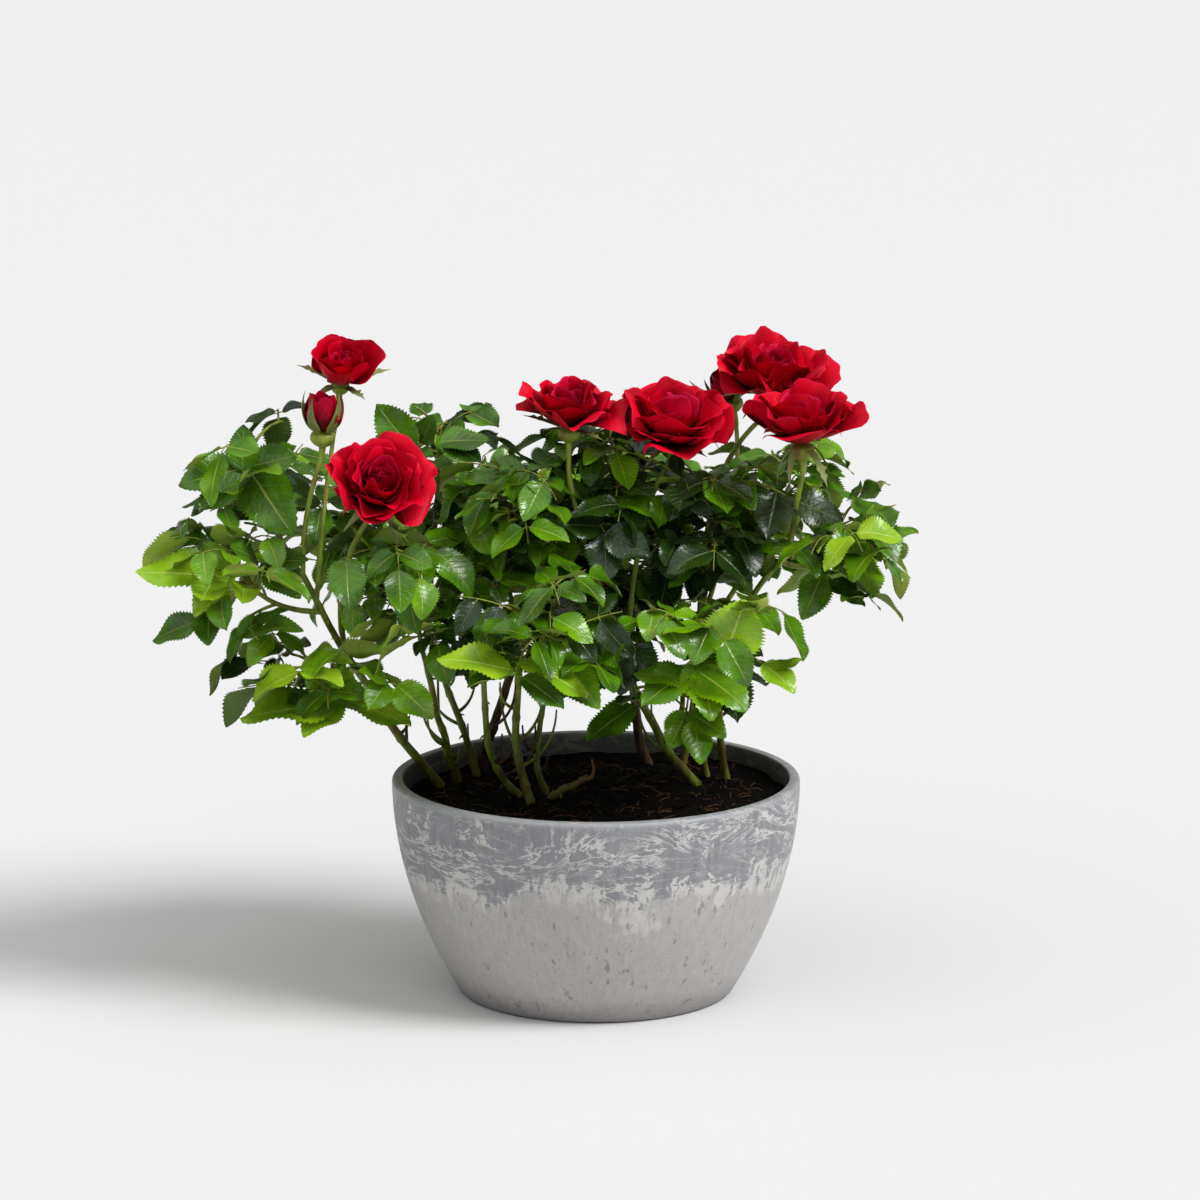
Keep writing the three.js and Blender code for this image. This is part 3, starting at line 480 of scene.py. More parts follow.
def side_twigs(heap, limb, many, seed):
    """Thin bare twigs that leave a cane low down and rise between the others."""
    for k in range(many):
        t = within(SPUR["places"], (k + chance(seed, 80 + k)) / many)
        heading = 2 * math.pi * chance(seed, 90 + k)
        out = level_way(heading)
        length = within(SPUR["length"], chance(seed, 100 + k) ** 1.4)
        root = limb["curve"].at(t)
        twig = Bend(root, root + (out * 0.45 + UP * 0.3) * length, root + (out * 0.62 + UP * 0.85) * length)
        share = np.linspace(0, 1, 12)
        tube(heap, twig.at(share), within(SPUR["radii"], share), 7, relief=smooth_bark)


def ridged_bark(points):
    """Furrows that run up old wood."""
    flat = points * np.array([1, 1, 0.16])
    return 0.13 * waves(flat, 3.2, 5) + 0.05 * waves(points, 2.4, 6)


def smooth_bark(points):
    """Faint swellings along green wood."""
    return 0.035 * waves(points * np.array([1, 1, 0.3]), 3.5, 7)


# ---- Blooms ----
def flower_frame(facing):
    """Rows are the flower's own axes: two across it, and the way it faces."""
    axis = np.cross(UP, facing)
    turn = math.atan2(np.linalg.norm(axis), facing[2])
    axis = unit(axis)
    rows = []
    for start in np.eye(3):
        along = axis * (axis @ start)
        rows.append(along + turned(start - along, axis, turn))
    return np.array(rows)


blooms = {}


def place_bloom(name, row):
    """Finds where a bloom stands. Its stalk's neck bends from the stalk's tip to the way it faces."""
    plan = dict(zip(BLOOM_PARTS, row))
    stalk = limbs["stalk_" + name]
    facing = unit(np.array(plan["facing"], float))
    start = stalk["curve"].end
    elbow = start + stalk["curve"].tangent(1) * NECK["length"] / 2
    end = elbow + facing * NECK["length"] / 2
    neck = Bend(start, (start + 2 * elbow + end) / 4, end)
    note_limb(neck, (stalk["radii"][1], NECK["radius"]))
    closed = name.startswith("bud_")
    depth = (1.3 if closed else 0.5) * plan["radius"]
    base = neck.end + facing * plan["hip"][1]
    blooms[name] = {
        **plan, "closed": closed, "neck": neck, "base": base, "depth": depth,
        "heart": base + facing * depth, "axes": flower_frame(facing),
    }


for bloom_name, bloom_row in BLOOMS.items():
    place_bloom(bloom_name, bloom_row)


def petal(heap, bloom, shape, draw, finish):
    """One petal. Its centre line leaves the flower's foot outwards, rises to its own slope and rolls
    back at the rim. Across, it is cupped round the heart, with one edge over its neighbour."""
    rows, columns = PETAL["rows"], PETAL["columns"]
    v, u = np.meshgrid(np.linspace(0, 1, rows), np.linspace(-1, 1, columns), indexing="ij")
    edge = shape["tip"] * np.exp(-((u / 0.3) ** 2)) - 0.3 * np.abs(u) ** 3
    broad, fine = np.sin(4 * u + draw.uniform(0, 6.3)), np.sin(11 * u + draw.uniform(0, 6.3))
    edge = edge + 0.045 * broad + 0.014 * fine
    share = v * (0.95 + edge)
    line = np.linspace(0, 1.2, 61)
    rim = np.clip((line - 0.74) / 0.26, 0, 2)
    belly = shape["foot"] * np.exp(-((line / shape["belly"]) ** 2))
    slope = shape["slope"] * line**0.5 + belly + shape["roll"] * rim**1.6
    reach = np.cumsum(np.sin(slope)) * 0.02
    length = min(shape["longest"], (shape["radius"] - shape["start"]) / max(0.05, reach[:51].max()))
    slope_at = np.interp(share, line, slope)
    out = shape["start"] + length * np.interp(share, line, reach)
    up = PETAL["lift"] + length * np.interp(share, line, np.cumsum(np.cos(slope)) * 0.02)
    half = shape["half"] * (0.3 + 0.7 * np.sin(np.minimum(1, share / 0.62) * math.pi / 2))
    bow = np.maximum(out, 1.5) * shape["hug"] + 1.5
    angle = np.clip(u * half / bow, -2.2, 2.2)
    aside = bow * np.sin(angle)
    size = bloom["radius"]
    ruffle = np.sin(shape["waves"] * u + draw.uniform(0, 6.3))
    ruffle = ruffle + 0.35 * np.sin(8.5 * u + draw.uniform(0, 6.3)) * v
    crease = np.abs(u - draw.uniform(-0.5, 0.5)) * draw.uniform(-0.12, 0.16)
    inward = bow * (1 - np.cos(angle)) * shape["cup"] + size * (shape["ruffle"] * ruffle + crease) * v**2
    inward = inward + 0.05 * size * u * v - shape["reflex"] * size * np.abs(u) ** 4 * v**2
    points = np.stack([out - np.cos(slope_at) * inward, aside, up + np.sin(slope_at) * inward], -1)
    c, d = math.cos(shape["turn"]), math.sin(shape["turn"])
    points = points.reshape(-1, 3) @ np.array([[c, d, 0], [-d, c, 0], [0, 0, 1]])
    points = bloom["base"] + points @ bloom["axes"]
    marks = np.stack([0.5 + 0.5 * u, v], -1).reshape(-1, 2)
    heap.add(points, [grid_faces(rows, columns)], marks, finish)


def rose(heap, bloom, seed):
    """Petals on a spiral, from the broad outer ones that lie back to the small folded ones at the heart."""
    draw = np.random.default_rng(seed)
    size, spread = bloom["radius"], bloom["spread"]
    widest, shortest = math.radians(4 + 104 * spread), within((0.78, 0.44), spread)
    many = bloom["petals"]
    for k in range(many):
        q = k / (many - 1)
        inner = q > 0.58
        loose = 0.42 if inner else 0.2
        shape = {
            "turn": k * GOLDEN + draw.uniform(-2, 2) * loose,
            "radius": size * (1 - 0.86 * q**0.85) * draw.uniform(0.88, 1.12),
            "longest": size * within((1.45, shortest), q**0.8) * draw.uniform(0.92, 1.06),
            "start": size * within((0.1, 0.02), q),
            "slope": within((widest, -0.2), q**0.8) + draw.uniform(-1, 1) * loose,
            "foot": within((1.1, 0.35), q),
            "belly": within((0.5, 0.3), spread),
            "roll": within((within((0.2, 1.1), spread), 0.3), q) * draw.uniform(0.3, 1.6),
            "half": size * within((within((0.95, 0.55), spread), 0.3), q**0.8) * draw.uniform(0.85, 1.15),
            "hug": within((1.25, 1.0), q),
            "cup": within((0.75, 1), q),
            "waves": draw.uniform(2.5, 5),
            "ruffle": within((0.085, 0.09), q) * draw.uniform(0.5, 1.7),
            "reflex": within((0.2, 0.03), q) * draw.uniform(0, 1.6),
            "tip": draw.uniform(-0.05, 0.1),
        }
        petal(heap, bloom, shape, draw, 1 if inner else 0)


def bud(heap, bloom, seed):
    """A closed bud: petals wrapped round one another, with the outermost just parting."""
    draw = np.random.default_rng(seed)
    size = bloom["radius"]
    for k in range(bloom["petals"]):
        q = k / (bloom["petals"] - 1)
        shape = {
            "turn": k * GOLDEN, "radius": size * (1 - 0.75 * q),
            "longest": size * 1.7 * draw.uniform(0.95, 1.05), "start": size * within((0.3, 0.05), q),
            "slope": within((-0.3, -0.12), q), "foot": within((1.3, 0.6), q), "belly": 0.42,
            "roll": 0.5 * (1 - q) * draw.uniform(0.2, 1), "half": size * within((0.95, 0.8), q),
            "hug": 1.0, "cup": 1, "waves": 3, "ruffle": 0.03, "reflex": 0, "tip": 0.08,
        }
        petal(heap, bloom, shape, draw, 2)


def sepals(heap, bloom, seed):
    """Five narrow green sepals on the rim of the hip, some with side lobes near their tips."""
    draw = np.random.default_rng(seed)
    length, broad = SEPAL["closed" if bloom["closed"] else "open"]
    rows = SEPAL["rows"]
    t = np.linspace(0, 1, rows)
    u = np.array([-1, -0.5, 0, 0.5, 1])
    for k in range(5):
        bent = bloom["sepals"] + draw.uniform(-0.1, 0.12)
        start, finish = within((0.25, 2.2), bent), within((-0.25, 3.0), bent)
        if bloom["closed"]:
            start, finish = within((1.0, 1.5), bent), within((-0.62, 1.3), bent)
        steep = start + (finish - start) * t**0.8
        step = length * draw.uniform(0.85, 1.1) / (rows - 1)
        out = np.cumsum(np.sin(steep)) * step + bloom["hip"][0] * 0.62
        up = np.cumsum(np.cos(steep)) * step - 0.4
        half = broad * (1 - t) ** 0.9 * (0.55 + 0.45 * np.minimum(1, t * 5)) + 0.12
        if k % 2 == 0 and not bloom["closed"]:
            for lobe, at in SEPAL["lobes"]:
                half = half + lobe * np.exp(-(((t - at) / 0.05) ** 2))
        angle = k * FIFTH + 0.35 + draw.uniform(-0.12, 0.12)
        away = level_way(angle)
        side = np.cross(UP, away)
        middle = np.outer(out, away) + np.outer(up, UP)
        hollow = np.outer(half, u**2) * 0.45
        inward = np.outer(-np.cos(steep), away) + np.outer(np.sin(steep), UP)
        sway = np.outer(t**2 * draw.uniform(-SEPAL["sway"], SEPAL["sway"]), side)
        points = (middle + sway)[:, None] + np.outer(half, u)[..., None] * side
        points = points + hollow[..., None] * inward[:, None]
        points = bloom["base"] + points.reshape(-1, 3) @ bloom["axes"]
        marks = np.stack([np.tile(0.5 + 0.5 * u, rows), np.repeat(t, len(u))], 1)
        heap.add(points, [grid_faces(rows, len(u))], marks)


def flower_stalk(heap, name, bloom, seed):
    """A flower's stalk with its neck and its hip, as one smooth body."""
    limb = limbs["stalk_" + name]
    path, radii = limb_path(limb, 2, seed)
    t = np.linspace(0, 1, 6)[1:]
    radius, length = bloom["hip"]
    rise = np.linspace(0.12, 1, 9)
    swell = NECK["radius"] + (radius - NECK["radius"]) * np.sin(math.pi * 0.68 * rise**0.9) ** 0.8
    hip = bloom["neck"].end + np.outer(rise * (length - SEAT), bloom["facing"])
    path = np.concatenate([path, bloom["neck"].at(t), hip])
    radii = np.concatenate([radii, within((limb["radii"][1], NECK["radius"]), t), swell])
    tube(heap, path, radii, LIMB["sides"], relief=smooth_bark)


# ---- The leaf rule ----
def space_distances(points):
    """Distance of each point from the centre of each mass, where 1 is on the surface of its space."""
    return np.linalg.norm((points[:, None] - SPACE_CENTRES) / SPACE_HALVES, axis=2)


def near_bloom(points):
    """Whether each point is in the space of a bloom, or too near it."""
    near = np.zeros(len(points), bool)
    for bloom in blooms.values():
        away = points - bloom["heart"]
        along = away @ bloom["facing"]
        across = np.sqrt(np.maximum(0, (away**2).sum(1) - along**2))
        near |= (np.abs(along) < bloom["depth"] + LEAF["gap"]) & (across < bloom["radius"] + LEAF["gap"])
    return near


def near_limb(points, own):
    """Whether a point is too near any limb but the stem that its own mass grows on."""
    places, reach = np.array(limb_places), np.array(limb_radii) + LEAF["gap"]
    if own is not None:
        reach = np.where(np.array(limb_owners) == own, 0, reach)
    gaps = (points**2).sum(1)[:, None] + (places**2).sum(1) - 2 * points @ places.T
    return (gaps < reach**2).any(1)


def has_room(mass_index, points, own=None, mixed=False):
    """Whether each point is in its mass's own space, and clear of limbs, blooms and the bowl. Where
    masses are mixed, it may also be in a neighbour's space."""
    distances = space_distances(points)
    mine = distances[:, mass_index]
    others = np.delete(distances, mass_index, 1).min(1)
    clear = (mine <= LEAF["furthest"]) & (points[:, 2] >= POT["height"] + LEAF["gap"])
    if mixed:
        clear &= (points > REACH_LOW - 2).all(1) & (points < REACH_HIGH + 2).all(1)
    else:
        clear &= others > mine + LEAF["border"]
    if clear.any():
        clear &= ~near_bloom(points)
    if clear.any():
        clear &= ~near_limb(points, own)
    return clear


class LeafFrame:
    """A leaf's own frame: x across, y out along the stalk and z up from the blade. The stalk rises
    from the stem and droops, and the blades sag away from it."""

    def __init__(self, root, plan):
        out = level_way(plan["heading"])
        slopes = [out * math.cos(a) + UP * math.sin(a) for a in (plan["rise"], plan["droop"])]
        middle = root + slopes[0] * plan["stalk"] / 2
        self.curve = Bend(root, middle, middle + slopes[1] * plan["stalk"] / 2)
        self.level = turned(np.cross(out, UP), slopes[1], plan["roll"])
        self.stalk, self.length = plan["stalk"], plan["length"]

    def tangent(self, y):
        return self.curve.tangent(np.clip(y / self.stalk, 0, 1))

    def face(self, y):
        return unit(np.cross(self.level, self.tangent(y)))

    def place(self, x, y):
        x, y = np.asarray(x, float)[..., None], np.asarray(y, float)
        t = np.clip(y / self.stalk, 0, 1)
        past = (y - t * self.stalk)[..., None]
        sag = LEAF["sag"] * (x * x + np.maximum(0, past) ** 2) / self.length
        return self.curve.at(t) + self.tangent(y) * past + self.level * x - UP * sag


def on_leaflet(foot, turn, length, t, s):
    """A place on a leaflet in its leaf's frame: t along it, and s from side to side."""
    widest = LEAF["widest"]
    half = 0.5 * LEAF["width"] * length * np.minimum(t / widest, (1 - t) / (1 - widest))
    x = math.sin(turn) * t * length + math.cos(turn) * s * half
    return x, foot + math.cos(turn) * t * length - math.sin(turn) * s * half


class Placed:
    """Leaflets that have their place. Each row has a middle, a face and a length."""

    def __init__(self, disc, apart):
        self.rows, self.count = np.zeros((8000, 7)), 0
        self.disc, self.apart = disc, apart

    def add(self, leaflets):
        for leaflet in leaflets:
            self.rows[self.count] = [*leaflet["middle"], *leaflet["face"], leaflet["length"]]
            self.count += 1

    def crossing(self, leaflet):
        """Two blades cross when their discs reach each other and each one reaches the other's plane."""
        middles, faces, lengths = np.split(self.rows[: self.count], [3, 6], axis=1)
        lengths = lengths[:, 0]
        between = middles - leaflet["middle"]
        tilt = np.sqrt(np.maximum(0, 1 - (faces @ leaflet["face"]) ** 2))
        close = np.linalg.norm(between, axis=1) < self.disc * (lengths + leaflet["length"])
        close &= np.abs(between @ leaflet["face"]) < self.disc * lengths * tilt + self.apart
        close &= np.abs((between * faces).sum(1)) < self.disc * leaflet["length"] * tilt + self.apart
        return bool(close.any())


def fuller(leaf, best):
    """Whether a leaf has more leaflets than the best one so far."""
    return bool(leaf) and (best is None or len(leaf["leaflets"]) > len(best["leaflets"]))


def compound_leaf(mass_index, root, plan, placed, mixed=False):
    """The leaflets of one leaf that find room, in pairs up the stalk and one at its end."""
    leaf = LeafFrame(root, plan)
    stalk_points = leaf.place(0 * STALK_TESTS, STALK_TESTS * leaf.stalk)
    if not has_room(mass_index, stalk_points, mass_index, mixed).all():
        return None
    length = plan["length"]
    layout = [(leaf.stalk, 0, length)]
    for share, turn, size in LEAF["pairs"][: plan["pairs"]]:
        layout += [(share * leaf.stalk, turn, size * length), (share * leaf.stalk, -turn, size * length)]
    tests = np.concatenate([leaf.place(*on_leaflet(*leaflet, *BLADE_TESTS)) for leaflet in layout])
    room = has_room(mass_index, tests, mixed=mixed).reshape(len(layout), -1).all(1)
    kept = []
    for (foot, turn, size), fits in zip(layout, room):
        x, y = on_leaflet(foot, turn, size, 0.5, 0)
        middle, face = leaf.place(x, y), leaf.face(y)
        made = {"foot": foot, "turn": turn, "length": size, "middle": middle, "face": face}
        if fits and not placed.crossing(made):
            kept.append(made)
    return {"frame": leaf, "leaflets": kept, "plan": plan}


def leaf_plan(mass, tangent, around, draw):
    """How a shoot's leaf stands on its stem, and how long it is."""
    side, front = cross_directions(tangent)
    way = side * math.cos(around) + front * math.sin(around)
    way = unit(way + tangent * within(GROWTH["forward"], draw(1)) + UP * GROWTH["lift"])
    rise = math.asin(clamp(way[2], *GROWTH["rise"]))
    length = mass["leaflet"] * within(GROWTH["size"], draw(4))
    pairs = 2 if draw(6) < GROWTH["two_pairs"] else 1
    return {
        "heading": math.atan2(way[1], way[0]), "rise": rise, "length": length, "pairs": pairs,
        "droop": GROWTH["follow"] * rise + within(GROWTH["droop"], draw(2)),
        "roll": within(GROWTH["roll"], draw(3)), "stalk": length * within(GROWTH["stalk"][pairs], draw(5)),
    }


def shoots_of(mass_index, mass, seed, stem):
    """Where the rule puts each shoot of a mass, turning round its stem. Each has a few tries."""
    shoots, placed = [], Placed(LEAF["disc"], LEAF["apart"])
    for i in range(mass["leaves"]):
        t = within((GROWTH["first"], 1), (i + 0.7) / mass["leaves"])
        best = None
        for k in range(GROWTH["tries"]):
            def draw(n, i=i, k=k):
                return chance(seed, i * 97 + k * 11 + n)
            around = i * GOLDEN + seed + within(GROWTH["wander"], draw(0)) + k * GROWTH["retry"]
            plan = leaf_plan(mass, stem.tangent(t), around, draw)
            tried = compound_leaf(mass_index, stem.at(t), plan, placed)
            if fuller(tried, best):
                best = tried
        if best and best["leaflets"]:
            shoots.append(best)
            placed.add(best["leaflets"])
    return shoots


def leaf_spots(mass, stem, shoots, seed):
    """Where leaves may grow, up each shoot's twig and round the stem: their roots, headings and rises."""
    spots = []
    for place, turn in TWIG["leaves"]:
        for shoot in shoots:
            plan = shoot["plan"]
            root = shoot["frame"].curve.at(place * TWIG["share"])
            spots.append((root, plan["heading"] + turn, 0.6 * plan["rise"]))
    for k in range(TWIG["on_stem"]):
        t = within((0.25, 1), k / (TWIG["on_stem"] - 1))
        spots.append((stem.at(t), seed + 1.3 + k * GOLDEN, 0.25))
    return spots


def life_size_plan(mass, root, heading, rise, draw):
    """A leaf that leans so that its face looks out of the bush."""
    outward = (root - mass["centre"]) * np.array([1, 1, 0.3]) + unit(root - BUSH_AXIS) * 30
    heading = heading + LIFE_SIZE["turn"] * (draw(1) - 0.5)
    level = np.array([math.sin(heading), -math.cos(heading), 0])
    rise = clamp(rise + LIFE_SIZE["lift"] * (draw(2) - 0.4), *LIFE_SIZE["rise"])
    pairs = 2 if draw(6) < LIFE_SIZE["two_pairs"] else 1
    length = mass["leaflet"] * TWIG["leaflet"] * within(LIFE_SIZE["size"], draw(3))
    return {
        "heading": heading, "rise": rise, "length": length, "pairs": pairs,
        "droop": LIFE_SIZE["follow"] * rise + within(LIFE_SIZE["droop"], draw(4)),
        "roll": LIFE_SIZE["outward"] * float(unit(outward) @ level) + LIFE_SIZE["roll"] * (draw(5) - 0.5),
        "stalk": length * within(LIFE_SIZE["stalk"][pairs], draw(7)),
    }


# ---- Leaf blades ----
def blade_pattern():
    """A toothed leaflet's points, as shares along and across it, and its faces."""
    teeth = BLADE["teeth"]
    points = [(0, 0, 1), (1, 0, 1)]
    columns = {}

    def point(t, s, bite):
        points.append((t, s, bite))
        return len(points) - 1

    for j in range(1, teeth):
        t = j / teeth
        columns[j] = {0: point(t, 0, 1)}
        for side in (-1, 1):
            middle = point(t, side * 0.5, 1)
            notch, tooth = point(t, side, 0.93), point(t + 0.72 / teeth, side, 1.09)
            columns[j][side] = (middle, notch, tooth)
    faces = []
    for side in (-1, 1):
        def face(*corners, side=side):
            faces.append(corners if side > 0 else corners[::-1])
        first, last = columns[1], columns[teeth - 1]
        face(0, first[side][0], first[0])
        face(0, first[side][1], first[side][0])
        for j in range(1, teeth - 1):
            (mid, notch, tooth), (mid2, notch2, _) = columns[j][side], columns[j + 1][side]
            face(columns[j][0], mid, mid2)
            face(columns[j][0], mid2, columns[j + 1][0])
            face(mid, notch, tooth)
            face(mid, tooth, mid2)
            face(mid2, tooth, notch2)
        face(last[0], last[side][0], 1)
        face(last[side][0], last[side][1], last[side][2])
        face(last[side][0], last[side][2], 1)
    return np.array(points, float), np.array(faces)


BLADE_POINTS, BLADE_FACES = blade_pattern()


def half_width(t):
    """A leaflet's outline: round at its foot, widest below its middle, and pointed."""
    t = np.clip(t, 0, 1)
    return 0.5 * t**0.6 * (1 - t) ** 0.86 / (0.41**0.6 * 0.59**0.86)


def add_blades(heap, blades, finish):
    """Adds leaflets to a heap. Each has its foot, the way it points, its face and its shape."""
    t, s, bite = BLADE_POINTS.T
    keys = ("foot", "ahead", "face", "length", "width", "fold", "curl", "phase")
    foot, ahead, face, length, width, fold, curl, phase = (
        np.array([blade[key] for blade in blades])[:, None] for key in keys
    )
    side = np.cross(ahead, face)
    x = s * bite * half_width(t) * width * length
    angle = curl * t
    y = length * np.sin(angle) / curl
    z = fold * np.abs(x) - length * (1 - np.cos(angle)) / curl
    quilting = np.cos(2 * math.pi * 7 * (t - 0.22 * np.abs(s))) * np.abs(s) * (1.1 - np.abs(s))
    ripple = np.sin(9 * t + phase) * s * s
    z = z + length * (0.005 * quilting + 0.045 * ripple)
    points = foot + ahead * y[..., None] + side * x[..., None] + face * z[..., None]
    many, each = points.shape[:2]
    faces = BLADE_FACES[None] + (np.arange(many) * each)[:, None, None]
    marks = np.tile(np.stack([0.5 + 0.5 * s, t], 1), (many, 1))
    heap.add(points.reshape(-1, 3), [faces.reshape(-1, 3)], marks, finish)


def blade_of(leaf, leaflet, draw):
    """A leaflet's foot, ways and shape, from its place in its leaf."""
    own_frame, y, turn = leaf["frame"], leaflet["foot"], leaflet["turn"]
    tangent, face = own_frame.tangent(y), own_frame.face(y)
    level = np.cross(tangent, face)
    ahead = unit(tangent * math.cos(turn) + level * math.sin(turn) - UP * 0.12 * draw.uniform(0, 2))
    face = unit(face + 0.16 * draw.normal(size=3))
    face = unit(face - ahead * (face @ ahead))
    root = own_frame.place(0, y)
    foot = root + ahead * (BLADE["petiole"] if turn else 0)
    return root, {
        "foot": foot, "ahead": ahead, "face": face, "length": leaflet["length"] - BLADE["petiole"],
        "width": draw.uniform(*BLADE["width"]), "fold": draw.uniform(*BLADE["fold"]),
        "curl": draw.uniform(*BLADE["curl"]), "phase": draw.uniform(0, 6.3),
    }


def leaf_stalk(heap, leaf):
    """A leaf's stalk, thicker at its foot."""
    t = np.linspace(0, 1, 8)
    radii = 0.5 * (1 - 0.45 * t) + 0.35 * np.exp(-t * 14)
    tube(heap, leaf["frame"].curve.at(t), radii, 5)


# ---- Growing the masses ----
def hang_spray(spray, twig_heap, placed, draw):
    """The blades of a spray that stands out, with the twig that it hangs on."""
    hub = np.array(spray["hub"], float)
    t = np.linspace(0.25, 1, 40)
    near = (limbs[spray["limb"]]["curve"] if spray["limb"] else stems[spray["mass"]]).at(t)
    root = near[np.argmin(np.linalg.norm(near - hub, axis=1))]
    length = np.linalg.norm(hub - root)
    twig = Bend(root, (root + hub) / 2 + UP * (length * SPRAY["rise"]), hub)
    t = np.linspace(0, 1, 14)
    tube(twig_heap, twig.at(t), within(SPRAY["radii"], t), 6)
    blades = []
    for number, tip in enumerate(spray["tips"]):
        back = SPRAY["first_pair"] + SPRAY["pair"] * ((number + 1) // 2) if number else 0
        foot = twig.at(1 - min(SPRAY["furthest"], back / length))
        ahead = unit(np.array(tip, float) - foot)
        face = unit(np.array(spray["face"], float)) + 0.1 * draw.normal(size=3)
        face = unit(face - ahead * (face @ ahead))
        size = np.linalg.norm(tip - foot) - SPRAY["petiole"]
        blades.append({
            "foot": foot + ahead * SPRAY["petiole"], "ahead": ahead, "face": face, "length": size,
            "width": spray["width"] * draw.uniform(*SPRAY["width"]), "fold": draw.uniform(*SPRAY["fold"]),
            "curl": draw.uniform(*SPRAY["curl"]), "phase": draw.uniform(0, 6.3),
        })
        placed.add([{"middle": foot + ahead * size / 2, "face": face, "length": size}])
    return blades


def best_leaf(mass_index, mass, seed, number, spot, placed):
    """The fullest leaf of a few tries at a spot, with its chances."""
    root, heading, rise = spot
    best, chances = None, None
    for k in range(TWIG["tries"]):
        def draw(n, k=k):
            return chance(seed, 5000 + number * 173 + k * 29 + n)
        plan = life_size_plan(mass, root, heading, rise, draw)
        leaf = compound_leaf(mass_index, root, plan, placed, mixed=True)
        if fuller(leaf, best):
            best, chances = leaf, draw
        if best and len(best["leaflets"]) > 2 * best["plan"]["pairs"]:
            break
    return (best, chances) if best and best["leaflets"] else (None, None)


def grow_mass(mass_index, name, mass, twig_heap, placed, blades):
    """A mass's stem and twigs, and the leaves that find room on them, with one tint to a leaf."""
    seed = mass_index + 1
    draw_shape = np.random.default_rng(1000 + seed)
    stem = stems[name]
    t = np.linspace(0, 1, 22)
    tube(twig_heap, stem.at(t), within(STEM["radii"], t), 8, relief=smooth_bark)
    shoots = shoots_of(mass_index, mass, seed, stem)
    for shoot in shoots:
        t = np.linspace(0, TWIG["share"], 9)
        tube(twig_heap, shoot["frame"].curve.at(t), within(TWIG["radii"], t / TWIG["share"]), 6)
    for number, spot in enumerate(leaf_spots(mass, stem, shoots, seed)):
        if chance(seed, 3000 + number) > mass["fill"]:
            continue
        leaf, draw = best_leaf(mass_index, mass, seed, number, spot, placed)
        if leaf is None:
            continue
        placed.add(leaf["leaflets"])
        leaf_stalk(twig_heap, leaf)
        tint = min(3, int(np.searchsorted(np.cumsum(mass["tints"]), draw(9), side="right")))
        for leaflet in leaf["leaflets"]:
            joint, blade = blade_of(leaf, leaflet, draw_shape)
            blades[tint].append(blade)
            if leaflet["turn"]:
                path = [joint, (joint + blade["foot"]) / 2, blade["foot"] + blade["ahead"] * 0.6]
                tube(twig_heap, path, [0.32, 0.3, 0.25], 4)


# ---- Soil ----
def soil_height(points):
    """The top of the soil: lumpy, drawn up at the bowl's wall and a little higher at the right."""
    x, y = points[:, 0], points[:, 1]
    flat = np.stack([x, y, np.zeros(len(x))], 1)
    edge = np.clip((np.hypot(x, y) - SOIL["edge"][0]) / SOIL["edge"][1], 0, 1)
    rise = SOIL["lean"] * np.clip(x / 90, -0.4, 1) + SOIL["edge_rise"] * edge**2
    lumps, grit = SOIL["lumps"] * waves(flat, 15, 11), SOIL["grit"] * waves(flat, 3.2, 12)
    return SOIL["top"] - 0.6 + rise + lumps + grit


def soil_bed(heap, radius):
    """The top of the soil, with a skirt that goes down inside the bowl."""
    rings, sides = 70, 180
    angles = np.arange(sides) * 2 * math.pi / sides
    share, angle = np.meshgrid(np.linspace(0.004, 1, rings), angles, indexing="ij")
    x, y = (radius * share * np.cos(angle)).ravel(), (radius * share * np.sin(angle)).ravel()
    points = np.stack([x, y, np.zeros(len(x))], 1)
    points[:, 2] = soil_height(points)
    skirt = points[-sides:].copy()
    skirt[:, 2] = SOIL["top"] - SOIL["depth"]
    skirt[:, :2] *= 0.98
    heap.add(np.concatenate([points, skirt]), [grid_faces(rings + 1, sides, closed=True)])


def crumbs(heap, radius, many, seed):
    """Loose crumbs of soil and bark, each a dented eight-sided lump."""
    draw = np.random.default_rng(seed)
    corners = np.array([(1, 0, 0), (-1, 0, 0), (0, 1, 0), (0, -1, 0), (0, 0, 1), (0, 0, -1)], float)
    belt = ((0, 2), (2, 1), (1, 3), (3, 0))
    faces = np.array([(a, b, 4) for a, b in belt] + [(b, a, 5) for a, b in belt])
    for _ in range(many):
        away, angle = radius * math.sqrt(draw.uniform(0.002, 0.97)), draw.uniform(0, 2 * math.pi)
        centre = np.array([away * math.cos(angle), away * math.sin(angle), 0])
        centre[2] = soil_height(centre[None])[0]
        size = 0.5 + 1.5 * draw.uniform() ** 2.5
        lump = corners * size * draw.uniform(0.55, 1.25, (6, 3)) + draw.normal(size=(6, 3)) * size * 0.25
        turn = np.linalg.qr(draw.normal(size=(3, 3)))[0]
        if np.linalg.det(turn) < 0:
            turn[0] *= -1
        heap.add(centre + lump @ turn, [faces], finish=int(draw.uniform() < 0.16))


